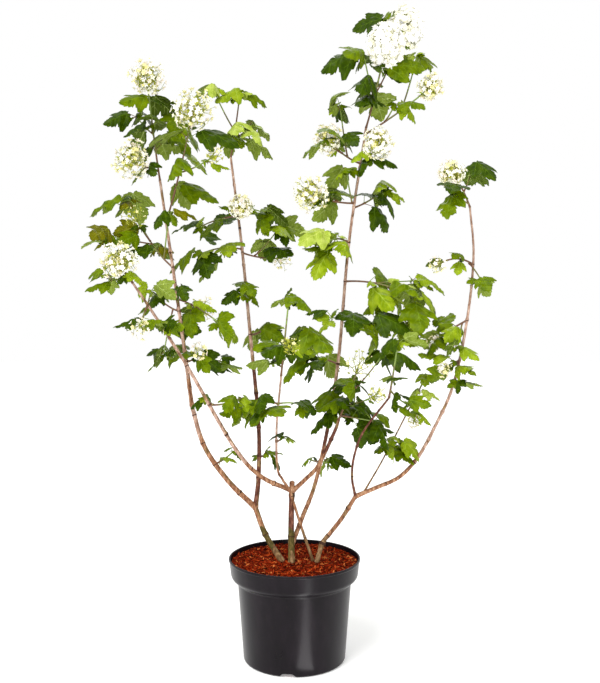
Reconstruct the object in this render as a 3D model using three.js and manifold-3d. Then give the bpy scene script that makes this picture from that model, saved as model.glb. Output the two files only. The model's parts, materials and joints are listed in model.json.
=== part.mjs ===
// A snowball viburnum in a black nursery pot: three stems rise from bark mulch and divide into long, nearly
// bare boughs, which carry leafy shoots and round heads of white blossom.
// Millimetres, +Z up. The origin is the centre of the pot's flat underside, and -Y is the plant's front.

import * as THREE from 'three';
import { mergeVertices } from 'three/addons/utils/BufferGeometryUtils.js';
import Module from 'manifold-3d';

const wasm = await Module();
wasm.setup();

// ---------------------------------------------------------------- driving dimensions

const GAP = 0.3; // clearance between pieces that touch
const SLIVER = 0.02; // edges and steps finer than this are closed up

const POT_HEIGHT = 218;
const RIM_RADIUS = 140;
const COLLAR_FOOT_RADIUS = 135;
const COLLAR_FOOT = 179; // height where the collar turns in
const BODY_TOP_RADIUS = 121;
const BODY_TOP = 168;
const BODY_FOOT_RADIUS = 109;
const POT_WALL = 2.2;
const POT_FLOOR = 7; // height of the floor's inner face
const FLOOR_RISE = 4; // how far the floor's outer face stands off the ground
const PAD_RADIUS = 30; // flat pad in the middle of the underside
const FOOT_RING_WIDTH = 9;
const FOOT_ROUND = 5;
const POT_SIDES = 30;

const NOTCH_COUNT = 3; // drainage notches through the foot ring
const NOTCH_HEIGHT = 8;
const NOTCH_TOP_WIDTH = 20;
const NOTCH_FOOT_WIDTH = 38;
const NOTCH_TURN = -97; // degrees, just left of the front
const DRAIN_COUNT = 6;
const DRAIN_RADIUS = 7;
const DRAIN_CIRCLE = 66;
const DRAIN_SIDES = 8;

const GROUND = 212; // top of the growing medium, where the stems are cut flat
const GROUND_EDGE = 209; // it falls away a little to the pot's wall
const GROUND_FLAT_RADIUS = 84;

const LIMB_SIDES = 6;
const LIMB_RING_SPACING = 58;
const ROOT_FLARE = 0.8; // extra radius of a stem at the ground
const ROOT_FLARE_HEIGHT = 11;

const TWIG_SIDES = 3;
const TWIG_PIECE = 52; // a twig's straight pieces are about this long
const TWIG_RADIUS = 2.1;
const TWIG_TIP_RADIUS = 1.6;
const TWIG_ARCH = 0.1; // how far a twig's middle hangs under its chord, over its length
const STALK_RADIUS = 0.9; // a leaf's stalk, where it meets the blade
const STALK_ROOT_RADIUS = 0.75; // and where it is sunk in the twig

// ---------------------------------------------------------------- limbs

// Each limb runs through its stations and tapers between two radii. `on` names the limb it grows from, and
// the one beside its foot if it must be cut clear of that too. The limbs without it stand on the growing
// medium. A limb that sweeps round the open middle is two solids.
const limbs = {
  left_stem: {
    radii: [6.2, 5.6],
    stations: [[-26, -15, GROUND], [-62, 4, 265], [-86, 18, 325]],
  },
  left_bough_lower: {
    on: ['left_stem'],
    radii: [6, 4.5],
    stations: [[-83, 18, 319], [-142, 16, 378], [-193, 14, 454], [-220, 17, 542]],
  },
  left_bough_upper: {
    on: ['left_bough_lower'],
    radii: [4.5, 2.7],
    stations: [[-219, 17, 539], [-238, 24, 681], [-260, 32, 835], [-287, 40, 1020]],
  },
  left_upright: {
    on: ['left_stem', 'left_bough_lower'],
    radii: [5.5, 2.6],
    stations: [
      [-84, 18, 320], [-78, 40, 386], [-80, 75, 501], [-101, 125, 698], [-120, 155, 883], [-146, 175, 1090],
    ],
  },
  centre_stem: {
    radii: [7, 5.6],
    stations: [[-6, -22, GROUND], [-7, -8, 290], [-5, 0, 380]],
  },
  centre_left_bough: {
    on: ['centre_stem'],
    radii: [5.1, 2.2],
    stations: [
      [-7, 0, 361], [-72, -22, 397], [-126, -45, 464], [-211, -90, 626], [-275, -115, 735], [-315, -134, 800],
    ],
  },
  centre_right_bough: {
    on: ['centre_stem'],
    radii: [4.9, 3.1],
    stations: [[-3, 0, 361], [24, -6, 387], [51, -12, 418], [83, -32, 490], [92, -47, 520]],
  },
  tall_stem: {
    on: ['centre_stem'],
    radii: [5.2, 2.6],
    stations: [[-6, -13, 247], [15, 14, 295], [51, 40, 391], [92, 58, 607], [118, 66, 889], [154, 62, 1136]],
  },
  crossing_shoot: {
    radii: [3.1, 2],
    stations: [
      [39, -9, GROUND], [12, -20, 296], [-9, -26, 363], [-24, -36, 391],
      [-35, -48, 420], [-36, -68, 505], [-26, -100, 615],
    ],
  },
  right_stem: {
    radii: [4.8, 4.4],
    stations: [[47, -21, GROUND], [60, -8, 250], [77, -3, 271], [102, -4, 304], [131, -8, 353]],
  },
  right_bough_lower: {
    on: ['right_stem'],
    radii: [4.7, 3.6],
    stations: [[129, -8, 350], [171, -4, 367], [221, 2, 388], [258, 6, 424], [287, 14, 468]],
  },
  right_bough_upper: {
    on: ['right_bough_lower'],
    radii: [3.6, 2.1],
    stations: [[286, 14, 466], [339, 26, 579], [371, 38, 723], [385, 46, 860], [377, 50, 965]],
  },
  right_inner_bough: {
    on: ['right_stem', 'right_bough_lower'],
    radii: [2.8, 2],
    stations: [[129, -8, 350], [121, -27, 395], [124, -50, 444], [142, -74, 500], [190, -103, 571]],
  },
  right_slender_shoot: {
    on: ['right_bough_lower'],
    radii: [1.9, 1.5],
    stations: [[147, -6, 358], [195, 25, 432], [265, 78, 550]],
  },
};

// ---------------------------------------------------------------- shoots

const TIP = Infinity; // the height that stands for a limb's own end

// Blossom heads: full snowballs, looser lace caps, sparse pale ones and young green ones.
const HEADS = {
  snowball: new THREE.IcosahedronGeometry(1, 1),
  lace: new THREE.DodecahedronGeometry(1, 0),
  pale: new THREE.IcosahedronGeometry(1, 0),
  young: new THREE.IcosahedronGeometry(1, 0),
};
const HEAD_ROUGHNESS = 0.1; // the most that a corner of a head is drawn in, over its radius

// A twig runs to a tip and bears `pairs` of opposite leaves about `leaf` long. `from` is where it leaves the
// mass's stem, `roll` turns its first pair about it, and a head of blossom `across` wide may end it.
const twig = (to, pairs, leaf, more = {}) => ({
  to, pairs, leaf, from: 0, roll: 0, arch: TWIG_ARCH, ...more,
});

// Each mass: its limb, the height of its node on that limb, then its stem and the twigs that fork from it.
const masses = {
  left_crown: ['left_bough_upper', TIP,
    twig([-314, 45, 1238], 3, 78, { head: 'lace', across: 72, roll: 140 }),
    twig([-342, 5, 1060], 1, 62, { from: 0.12, head: 'lace', across: 76 }),
    twig([-340, 66, 1160], 2, 74, { from: 0.5, roll: 240 }),
    twig([-252, 80, 1140], 2, 76, { from: 0.42, roll: 30 })],
  left_arch: ['left_bough_upper', 932,
    twig([-209, -15, 1158], 3, 90, { head: 'lace', across: 84, roll: 10 }),
    twig([-164, -35, 1062], 1, 50, { from: 0.5, head: 'young', across: 40, roll: 70 })],
  left_outer_spray: ['left_bough_upper', 836,
    twig([-361, 70, 985], 3, 80, { arch: 0.2, roll: 300 }),
    twig([-338, 15, 944], 0, 62, { from: 0.5, head: 'young', across: 54 }),
    twig([-392, 20, 900], 2, 68, { from: 0.45, roll: 230, arch: 0 }),
    twig([-262, -12, 946], 1, 58, { from: 0.2, roll: 140 })],
  left_inner_spray: ['left_bough_upper', 768,
    twig([-160, -15, 720], 2, 66, { arch: -0.1, roll: 110 }),
    twig([-199, 60, 748], 1, 52, { from: 0.35, head: 'pale', across: 54, roll: 90 })],
  left_outer_leaves: ['left_bough_upper', 742,
    twig([-296, 78, 768], 1, 62, { roll: 40 }),
    twig([-284, 55, 650], 2, 58, { from: 0.3, roll: 160, arch: -0.1 }),
    twig([-243, 2, 790], 1, 48, { from: 0.1, roll: 60 })],
  left_low_spray: ['left_bough_upper', 634,
    twig([-158, 50, 632], 2, 58, { arch: -0.15, roll: 65 }),
    twig([-201, -20, 658], 1, 56, { from: 0.2, head: 'pale', across: 38 }),
    twig([-268, 66, 652], 1, 62, { from: 0.1, roll: 20 })],
  left_foot_twig: ['left_bough_lower', 415,
    twig([-134, 45, 436], 2, 36, { roll: 30 })],

  upright_crown: ['left_upright', TIP,
    twig([-125, 182, 1236], 2, 72, { roll: 60 }),
    twig([-106, 158, 1149], 2, 90, { from: 0.35, roll: 240 }),
    twig([-184, 150, 1241], 1, 56, { from: 0.45, roll: 60 })],
  upright_high_right: ['left_upright', 975,
    twig([-119, 110, 972], 1, 58, { head: 'lace', across: 48 }),
    twig([-72, 135, 962], 2, 64, { from: 0.3, roll: 20, arch: -0.1 })],
  upright_high_left: ['left_upright', 955,
    twig([-217, 215, 937], 2, 70, { roll: 30, arch: -0.1 })],
  upright_mid_left: ['left_upright', 880,
    twig([-205, 100, 868], 2, 80, { roll: 105, arch: -0.15 })],
  upright_mid_right: ['left_upright', 872,
    twig([-30, 205, 862], 0, 62, { head: 'pale', across: 54 }),
    twig([-38, 145, 925], 2, 86, { from: 0.3, roll: 200 })],
  upright_low: ['left_upright', 806,
    twig([-116, 95, 788], 2, 50, { roll: 45 })],
  upright_lower: ['left_upright', 687,
    twig([-60, 162, 702], 2, 64, { roll: 20 })],
  upright_foot: ['left_upright', 512,
    twig([-110, 58, 532], 2, 58, { roll: 30 })],
  upright_base: ['left_upright', 425,
    twig([-58, 88, 424], 2, 40, { roll: 35 })],

  centre_left_crown: ['centre_left_bough', TIP,
    twig([-341, -145, 843], 1, 66, { head: 'lace', across: 70, roll: 20 }),
    twig([-362, -120, 812], 1, 60, { from: 0.2, arch: -0.2, roll: 70 })],
  centre_left_spray: ['centre_left_bough', 757,
    twig([-297, -165, 712], 1, 46, { head: 'pale', across: 40, arch: -0.1 }),
    twig([-288, -88, 785], 1, 52, { from: 0.1, roll: 30 })],
  centre_left_leaves: ['centre_left_bough', 690,
    twig([-252, -148, 712], 1, 46, { roll: 20 })],
  centre_left_low: ['centre_left_bough', 553,
    twig([-114, -112, 568], 1, 50, { roll: 30 }),
    twig([-184, -52, 563], 1, 38, { from: 0.15, roll: 20 })],

  crossing_crown: ['crossing_shoot', TIP,
    twig([-10, -120, 770], 2, 64, { roll: 160, arch: 0 }),
    twig([-6, -152, 678], 1, 56, { from: 0.3, head: 'young', across: 42 }),
    twig([16, -92, 696], 1, 84, { from: 0.35, roll: 50 }),
    twig([-40, -82, 642], 1, 46, { from: 0.12, roll: 20 })],
  crossing_leaves: ['crossing_shoot', 556,
    twig([-60, -122, 562], 1, 74, { roll: 30, arch: -0.1 }),
    twig([12, -108, 559], 1, 50, { from: 0.1, roll: 20, arch: -0.1 })],
  crossing_foot: ['crossing_shoot', 476,
    twig([-21, -88, 490], 1, 36, { roll: 30 })],

  top_crown: ['tall_stem', TIP,
    twig([193, 30, 1302], 2, 84, { head: 'snowball', across: 78, roll: 100 }),
    twig([239, 85, 1355], 0, 70, { from: 0.45, head: 'snowball', across: 80 }),
    twig([150, 62, 1285], 2, 82, { from: 0.4, roll: 280 }),
    twig([206, 125, 1379], 1, 72, { from: 0.6, roll: 180 })],
  top_right: ['tall_stem', 1122,
    twig([290, 40, 1218], 0, 60, { head: 'lace', across: 50, arch: 0.05 }),
    twig([265, 84, 1292], 1, 80, { from: 0.55, roll: 310 }),
    twig([212, 20, 1178], 1, 74, { from: 0.3, roll: 60 })],
  high_left: ['tall_stem', 1060,
    twig([73, 90, 1115], 0, 60, { head: 'lace', across: 60, arch: 0.15 }),
    twig([100, 108, 1190], 2, 72, { from: 0.4, roll: 30 }),
    twig([66, 55, 1106], 1, 66, { from: 0.55, roll: 140 })],
  high_right: ['tall_stem', 1050,
    twig([176, 8, 1094], 2, 60, { head: 'lace', across: 62, roll: 120 })],
  upper_left: ['tall_stem', 975,
    twig([33, 30, 991], 1, 62, { head: 'lace', across: 72, roll: 40 }),
    twig([80, 60, 988], 2, 76, { from: 0.35, roll: 260 }),
    twig([111, 40, 1040], 1, 60, { from: 0.05, roll: 225 })],
  upper_right: ['tall_stem', 965,
    twig([195, 80, 1005], 3, 64, { roll: 250 })],
  hanging_left: ['tall_stem', 890,
    twig([74, 26, 892], 3, 80, { roll: 220, arch: -0.2 })],
  mid_right: ['tall_stem', 806,
    twig([261, 42, 770], 3, 84, { roll: 320, arch: -0.15 }),
    twig([262, 112, 808], 2, 84, { from: 0.4, roll: 120, arch: 0 }),
    twig([246, 78, 712], 2, 80, { from: 0.6, roll: 10, arch: -0.2 })],
  mid_leaves: ['tall_stem', 726,
    twig([168, 14, 716], 2, 80, { roll: 30, arch: -0.1 }),
    twig([78, 20, 730], 1, 58, { from: 0.12, roll: 50 })],
  low_left: ['tall_stem', 626,
    twig([32, 96, 640], 3, 74, { roll: 25, arch: -0.1 })],
  low_leaves: ['tall_stem', 560,
    twig([91, -5, 532], 2, 76, { roll: 75, arch: -0.1 }),
    twig([112, 16, 588], 1, 60, { from: 0.3, roll: 120 }),
    twig([118, -24, 528], 1, 64, { from: 0.5, roll: 20, arch: -0.1 })],
  tall_foot: ['tall_stem', 416,
    twig([36, 80, 412], 1, 28, { roll: 20 }),
    twig([69, 66, 410], 1, 50, { from: 0.2, roll: 30 })],

  centre_right_crown: ['centre_right_bough', TIP,
    twig([132, -72, 636], 2, 74, { head: 'young', across: 70, arch: 0.08, roll: 15 }),
    twig([166, -108, 578], 2, 66, { from: 0.3, head: 'young', across: 42, roll: 30 }),
    twig([166, -48, 516], 2, 78, { from: 0.08, roll: 40, arch: 0 }),
    twig([186, -22, 655], 1, 84, { from: 0.5, roll: 210 })],
  right_inner_crown: ['right_inner_bough', TIP,
    twig([206, -112, 684], 2, 52, { roll: 70 }),
    twig([222, -134, 562], 2, 50, { from: 0.15, roll: 40 })],
  slender_crown: ['right_slender_shoot', TIP,
    twig([290, 112, 590], 2, 46, { roll: 30 }),
    twig([262, 58, 500], 1, 44, { from: 0.1, head: 'pale', across: 30, arch: -0.3 })],
  slender_leaves: ['right_slender_shoot', 442,
    twig([215, 2, 462], 3, 52, { roll: 20, arch: 0 })],

  right_crown: ['right_bough_upper', TIP,
    twig([333, 30, 1032], 0, 78, { head: 'lace', across: 56, arch: -0.25 }),
    twig([385, 72, 1047], 1, 86, { from: 0.35, roll: 260 }),
    twig([336, 0, 990], 1, 84, { from: 0.1, roll: 270 })],
  right_high: ['right_bough_upper', 842,
    twig([301, 8, 838], 2, 44, { head: 'pale', across: 38, roll: 60, arch: -0.3 }),
    twig([395, 12, 808], 1, 56, { from: 0.12, roll: 260, arch: -0.1 })],
  right_mid: ['right_bough_upper', 722,
    twig([306, 60, 672], 2, 64, { head: 'pale', across: 36, arch: -0.1, roll: 110 }),
    twig([344, -6, 664], 2, 50, { from: 0.15, roll: 60, arch: -0.1 })],
  right_low: ['right_bough_upper', 636,
    twig([316, -2, 620], 2, 64, { head: 'pale', across: 32, arch: -0.1, roll: 30 }),
    twig([350, 2, 594], 2, 46, { from: 0.15, roll: 110, arch: -0.1 })],
};

// ---------------------------------------------------------------- leaves

// A three-lobed blade, in shares of its length: along the midrib, across it, and out of its plane.
const BLADE_OUTLINE = [
  [0.33, 0.48, -0.06],
  [0.55, 0.22, 0],
  [1, 0, -0.1],
  [0.55, -0.22, 0],
  [0.33, -0.48, -0.06],
];
const SMALL_BLADE_OUTLINE = BLADE_OUTLINE.filter(([, , outward]) => outward !== 0);
const SMALL_BLADE = 56; // a blade shorter than this has no notches between its lobes
const BLADE_CENTRE = [0.4, 0, 0.05];
const BLADE_THICKNESS = 0.022; // at its centre, over its length

const LEAF_SIZE = [0.8, 1.12]; // shares of the twig's own leaf length
const PETIOLE_LENGTH = [0.22, 0.36]; // shares of the leaf's length
const DROOP = [-6, 46]; // degrees under the level
const LIGHT = new THREE.Vector3(0, -0.42, 0.9); // the side that the leaves face
const FACE_SCATTER = 1.5;
const LEAF_TRIES = 6;
const LEAF_TURN = 41; // degrees that a leaf in the way is turned about its twig
const LEAF_SHRINK = 0.93; // and how much smaller it grows, each try
const LEAF_MARGIN = 1.6; // clearance kept round a blade
const LEAF_MARGIN_SCALE = 1.05;

// ---------------------------------------------------------------- seeded chance

/** A number from 0 to 1 that depends only on its whole-number keys. */
function chance(...keys) {
  let hash = 2166136261;
  for (const key of keys) {
    hash = Math.imul(hash ^ key, 16777619) >>> 0;
    hash = Math.imul(hash ^ (hash >>> 15), 2246822519) >>> 0;
    hash = (hash ^ (hash >>> 13)) >>> 0;
  }
  return hash / 4294967296;
}

/** A whole number made from a name. */
function seedOf(name) {
  return [...name].reduce((seed, letter) => (seed * 31 + letter.charCodeAt(0)) % 1000003, 7);
}

function between([low, high], share) {
  return low + (high - low) * share;
}

// ---------------------------------------------------------------- geometry helpers

const vector = (values) => new THREE.Vector3(...values);
const radians = THREE.MathUtils.degToRad;
const UP = new THREE.Vector3(0, 0, 1);

/** A solid from a closed geometry, with shared vertices merged and empty faces dropped. */
function solidOf(geometry) {
  const bare = geometry.clone();
  bare.deleteAttribute('normal');
  bare.deleteAttribute('uv');
  const merged = mergeVertices(bare, 1e-4);
  const corners = merged.index.array;
  const faces = [];
  for (let i = 0; i < corners.length; i += 3) {
    const [a, b, c] = corners.slice(i, i + 3);
    if (a !== b && b !== c && c !== a) faces.push(a, b, c);
  }
  const vertProperties = new Float32Array(merged.attributes.position.array);
  return new wasm.Manifold(new wasm.Mesh({ numProp: 3, vertProperties, triVerts: new Uint32Array(faces) }));
}

/** The geometry of a solid. */
function geometryOf(solid) {
  const { vertProperties, triVerts } = solid.getMesh();
  const geometry = new THREE.BufferGeometry();
  geometry.setAttribute('position', new THREE.BufferAttribute(new Float32Array(vertProperties), 3));
  geometry.setIndex(new THREE.BufferAttribute(new Uint32Array(triVerts), 1));
  geometry.computeVertexNormals();
  return geometry;
}

/** The biggest connected piece of a solid, so that a scrap or a sealed hollow is left out. */
function mainPiece(solid) {
  return solid.decompose().sort((a, b) => b.volume() - a.volume())[0];
}

/** Two unit directions square to a tangent and to each other, measured from a fixed side. */
function crossAxes(tangent, reference) {
  const first = reference.clone().addScaledVector(tangent, -reference.dot(tangent)).normalize();
  return [first, new THREE.Vector3().crossVectors(first, tangent)];
}

/** The fixed side for a path: the plant's right, or its back for a path that runs to the right or left. */
function referenceFor(curve) {
  const chord = curve.getPoint(1).sub(curve.getPoint(0)).normalize();
  return Math.abs(chord.x) < 0.8 ? new THREE.Vector3(1, 0, 0) : new THREE.Vector3(0, 1, 0);
}

/** A closed tube bent along a curve, radiusAt(t, z) thick, grown by a margin all round and at both ends. */
function bentTube(curve, radiusAt, sides, rings, margin = 0) {
  const tube = new THREE.CylinderGeometry(1, 1, 1, sides, rings);
  const reference = referenceFor(curve);
  const places = tube.attributes.position;
  for (let i = 0; i < places.count; i += 1) {
    const t = Math.min(Math.max(places.getY(i) + 0.5, 0), 1);
    const tangent = curve.getTangent(t);
    const [first, second] = crossAxes(tangent, reference);
    const point = curve.getPoint(t);
    const radius = radiusAt(t, point.z) + margin;
    point.addScaledVector(first, places.getX(i) * radius);
    point.addScaledVector(second, places.getZ(i) * radius);
    if (t === 0) point.addScaledVector(tangent, -margin);
    if (t === 1) point.addScaledVector(tangent, margin);
    places.setXYZ(i, point.x, point.y, point.z);
  }
  return solidOf(tube);
}

/** A turned solid about the vertical axis, from [radius, height] pairs that start and end on the axis. */
function turned(profile, sides) {
  const points = profile.map(([radius, height]) => new THREE.Vector2(radius, height));
  return solidOf(new THREE.LatheGeometry(points, sides).rotateX(Math.PI / 2));
}

// ---------------------------------------------------------------- pot and growing medium

/** The radius of the pot's outer wall at a height. */
function potRadius(height) {
  if (height >= COLLAR_FOOT) {
    const share = (height - COLLAR_FOOT) / (POT_HEIGHT - COLLAR_FOOT);
    return between([COLLAR_FOOT_RADIUS, RIM_RADIUS - 1], share);
  }
  if (height >= BODY_TOP) {
    return between([BODY_TOP_RADIUS, COLLAR_FOOT_RADIUS], (height - BODY_TOP) / (COLLAR_FOOT - BODY_TOP));
  }
  return between([BODY_FOOT_RADIUS, BODY_TOP_RADIUS], height / BODY_TOP);
}

function potSolid() {
  const ringInner = BODY_FOOT_RADIUS - FOOT_ROUND - FOOT_RING_WIDTH;
  const outside = [
    [0, 0],
    [PAD_RADIUS, 0],
    [PAD_RADIUS + 2, FLOOR_RISE],
    [ringInner, FLOOR_RISE],
    [ringInner + 2, 0],
    [BODY_FOOT_RADIUS - FOOT_ROUND, 0],
    [BODY_FOOT_RADIUS - 1.2, FOOT_ROUND * 0.4],
    [potRadius(FOOT_ROUND * 1.6), FOOT_ROUND * 1.6],
    [BODY_TOP_RADIUS, BODY_TOP],
    [COLLAR_FOOT_RADIUS, COLLAR_FOOT],
    [RIM_RADIUS - 1, POT_HEIGHT - 5],
    [RIM_RADIUS, POT_HEIGHT - 2.5],
    [RIM_RADIUS - 1, POT_HEIGHT],
    [RIM_RADIUS - 3.4, POT_HEIGHT],
  ];
  const inside = [POT_HEIGHT - 5, COLLAR_FOOT, BODY_TOP, POT_FLOOR].map((z) => [potRadius(z) - POT_WALL, z]);
  let pot = turned([...outside, ...inside, [0, POT_FLOOR]], POT_SIDES);

  const notch = new THREE.Shape([
    new THREE.Vector2(-NOTCH_FOOT_WIDTH / 2, -1),
    new THREE.Vector2(NOTCH_FOOT_WIDTH / 2, -1),
    new THREE.Vector2(NOTCH_TOP_WIDTH / 2, NOTCH_HEIGHT),
    new THREE.Vector2(-NOTCH_TOP_WIDTH / 2, NOTCH_HEIGHT),
  ]);
  // The notch opens the foot ring only, up to the corner where the wall meets the floor.
  const depth = FOOT_RING_WIDTH + FOOT_ROUND + 4;
  for (let i = 0; i < NOTCH_COUNT; i += 1) {
    const cut = new THREE.ExtrudeGeometry(notch, { depth, bevelEnabled: false });
    cut.rotateX(Math.PI / 2).translate(0, BODY_FOOT_RADIUS + 3, 0);
    cut.rotateZ(radians(NOTCH_TURN - 90 + (i * 360) / NOTCH_COUNT));
    pot = pot.subtract(solidOf(cut));
  }
  for (let i = 0; i < DRAIN_COUNT; i += 1) {
    const drain = new THREE.CylinderGeometry(DRAIN_RADIUS, DRAIN_RADIUS, 4 * POT_FLOOR, DRAIN_SIDES);
    drain.rotateX(Math.PI / 2).translate(DRAIN_CIRCLE, 0, 0).rotateZ((i * 2 * Math.PI) / DRAIN_COUNT);
    pot = pot.subtract(solidOf(drain));
  }
  return pot;
}

function mediumSolid() {
  const wall = POT_WALL + GAP;
  const side = [POT_FLOOR + GAP, BODY_TOP, COLLAR_FOOT, GROUND_EDGE].map((z) => [potRadius(z) - wall, z]);
  return turned([[0, POT_FLOOR + GAP], ...side, [GROUND_FLAT_RADIUS, GROUND], [0, GROUND]], POT_SIDES);
}

// ---------------------------------------------------------------- limbs as curves and solids

const limbCurves = Object.fromEntries(
  Object.entries(limbs).map(([name, { stations }]) => [
    name,
    new THREE.CatmullRomCurve3(stations.map(vector), false, 'catmullrom', 0.5),
  ]),
);

function limbRadius(name, t, height) {
  const { radii, on } = limbs[name];
  const flare = on ? 0 : ROOT_FLARE * Math.exp(-(height - GROUND) / ROOT_FLARE_HEIGHT);
  return between(radii, t) + Math.max(flare, 0);
}

function limbSolid(name, margin = 0) {
  const curve = limbCurves[name];
  const rings = Math.ceil(curve.getLength() / LIMB_RING_SPACING) + (limbs[name].on ? 0 : 2);
  return bentTube(curve, (t, height) => limbRadius(name, t, height), LIMB_SIDES, rings, margin);
}

/** A stem's foot is cut level, just clear of the growing medium. */
function cutAtGround(solid) {
  const below = new THREE.BoxGeometry(400, 400, 100);
  below.translate(0, 0, GROUND + GAP - 50);
  return solid.subtract(solidOf(below));
}

/** A piece is cut clear of the limbs that it grows from. */
function seatOn(solid, carriers) {
  return mainPiece(carriers.reduce((rest, limb) => rest.subtract(limbSolid(limb, GAP)), solid));
}

/** Where a limb reaches a height, as the share of its length from 0 to 1. */
function shareAtHeight(curve, height) {
  if (height === TIP) return 1;
  let low = 0;
  let high = 1;
  for (let i = 0; i < 40; i += 1) {
    const middle = (low + high) / 2;
    if (curve.getPoint(middle).z < height) low = middle;
    else high = middle;
  }
  return low;
}

// ---------------------------------------------------------------- clearances

/** Where the segment pq passes through the triangle abc. */
function pierces(p, q, [a, b, c]) {
  const along = q.clone().sub(p);
  const ab = b.clone().sub(a);
  const ac = c.clone().sub(a);
  const h = along.clone().cross(ac);
  const scale = ab.dot(h);
  if (Math.abs(scale) < 1e-9) return false;
  const s = p.clone().sub(a);
  const u = s.dot(h) / scale;
  if (u < 0 || u > 1) return false;
  const k = s.cross(ab);
  const v = along.dot(k) / scale;
  if (v < 0 || u + v > 1) return false;
  const t = ac.dot(k) / scale;
  return t >= 0 && t <= 1;
}

/** The least distance between the segments pq and rs. */
function segmentGap(p, q, r, s) {
  const d1 = q.clone().sub(p);
  const d2 = s.clone().sub(r);
  const w = p.clone().sub(r);
  const a = d1.dot(d1);
  const e = d2.dot(d2);
  const f = d2.dot(w);
  const c = d1.dot(w);
  const b = d1.dot(d2);
  const clamp = (value) => Math.min(Math.max(value, 0), 1);
  const scale = a * e - b * b;
  let t1 = scale > 1e-9 ? clamp((b * f - c * e) / scale) : 0;
  const t2 = clamp((b * t1 + f) / e);
  t1 = clamp((b * t2 - c) / a);
  return w.addScaledVector(d1, t1).addScaledVector(d2, -t2).length();
}

/** Straight pieces that follow a curve, with its radius on each, to keep leaves clear of it. */
function wiresAlong(curve, radiusAt, count, owner) {
  return Array.from({ length: count }, (_, i) => ({
    owner,
    from: curve.getPoint(i / count),
    to: curve.getPoint((i + 1) / count),
    radius: radiusAt(i / count),
  }));
}

/** A blade and its stalk keep clear of a straight piece of limb or twig. */
function meetsWire(leaf, wire, margin) {
  const reach = leaf.length + leaf.petiole + wire.radius + wire.from.distanceTo(wire.to);
  if (leaf.root.distanceTo(wire.from) > reach) return false;
  const room = wire.radius + margin;
  if (leaf.edges.some(([p, q]) => segmentGap(p, q, wire.from, wire.to) < room)) return true;
  return leaf.faces.some((face) => pierces(wire.from, wire.to, face));
}

function stalkMeetsWire(leaf, wire) {
  return segmentGap(leaf.root, leaf.base, wire.from, wire.to) < wire.radius + STALK_RADIUS + GAP;
}

/** Two blades cross where an edge of one passes through the other, or a stalk does. */
function leavesCross(one, other) {
  if (one.middle.distanceTo(other.middle) > (one.length + other.length) * 0.8 + other.petiole) return false;
  const through = (a, b) =>
    [...a.edges, [a.root, a.base]].some(([p, q]) => b.faces.some((face) => pierces(p, q, face)));
  return through(one, other) || through(other, one);
}

/** A blade is clear of a round head of blossom. */
function meetsHead(leaf, head, share) {
  const room = (head.across / 2) * share;
  if (leaf.middle.distanceTo(head.centre) > leaf.length + room) return false;
  const near = (point) => point.distanceTo(head.centre) < room;
  return leaf.edges.some(([p, q]) => near(p) || near(q) || near(p.clone().lerp(q, 0.5)));
}

// ---------------------------------------------------------------- growth

/** A point on the straight pieces that make up a twig. */
function pointOnTwig({ curve, pieces }, share) {
  const whole = Math.min(Math.floor(share * pieces), pieces - 1);
  return curve.getPoint(whole / pieces).lerp(curve.getPoint((whole + 1) / pieces), share * pieces - whole);
}

/** The twigs of every mass as curves, with their heads of blossom. */
function growTwigs() {
  return Object.entries(masses).flatMap(([mass, [limb, height, ...rows]]) => {
    const node = limbCurves[limb].getPoint(shareAtHeight(limbCurves[limb], height));
    const twigs = [];
    rows.forEach((row, order) => {
      const start = order === 0 ? node : pointOnTwig(twigs[0], row.from);
      const end = vector(row.to);
      const span = start.distanceTo(end);
      const bend = start.clone().lerp(end, 0.5).addScaledVector(UP, -row.arch * span);
      const curve = new THREE.QuadraticBezierCurve3(start, bend, end);
      const head = row.head && { kind: row.head, across: row.across, centre: end, mass };
      const scale = order === 0 ? 1 : 0.85;
      const pieces = Math.ceil(span / TWIG_PIECE);
      const radii = [TWIG_RADIUS * scale, TWIG_TIP_RADIUS * scale];
      twigs.push({ ...row, mass, limb, order, curve, span, pieces, head, radii });
    });
    return twigs;
  });
}

/** One leaf: where its stalk leaves the twig, its blade's frame, and the faces that keep it clear. */
function makeLeaf(shoot, share, turn, length, keys) {
  const tangent = shoot.curve.getTangent(share);
  const [first, second] = crossAxes(tangent, referenceFor(shoot.curve));
  const out = first.multiplyScalar(Math.cos(turn)).addScaledVector(second, Math.sin(turn));
  const stalk = out.clone().multiplyScalar(0.8).addScaledVector(tangent, 0.45).addScaledVector(UP, 0.2);
  stalk.normalize();
  const petiole = length * between(PETIOLE_LENGTH, chance(...keys, 1));
  const root = pointOnTwig(shoot, share);
  const base = root.clone().addScaledVector(stalk, petiole);
  const level = new THREE.Vector3(stalk.x, stalk.y, 0);
  if (level.length() < 0.3) level.addScaledVector(LIGHT, 0.6).setZ(0);
  const droop = radians(between(DROOP, chance(...keys, 2)));
  const along = level.normalize().multiplyScalar(Math.cos(droop)).addScaledVector(UP, -Math.sin(droop));
  const scatter = vector([3, 4, 5].map((key) => (chance(...keys, key) - 0.5) * FACE_SCATTER));
  const face = LIGHT.clone().add(scatter);
  const normal = face.addScaledVector(along, -face.dot(along)).normalize();
  const across = along.clone().cross(normal);
  return withFaces({ mass: shoot.mass, root, base, petiole, length, along, across, normal });
}

function outlineOf({ length }) {
  return length < SMALL_BLADE ? SMALL_BLADE_OUTLINE : BLADE_OUTLINE;
}

/** A point of a leaf's blade, from shares of its length along, across and out of it. */
function bladePoint(leaf, [forward, sideways, outward], scale = 1) {
  const [centreForward] = BLADE_CENTRE;
  return leaf.base
    .clone()
    .addScaledVector(leaf.along, leaf.length * (centreForward + (forward - centreForward) * scale))
    .addScaledVector(leaf.across, leaf.length * sideways * scale)
    .addScaledVector(leaf.normal, leaf.length * outward);
}

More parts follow.
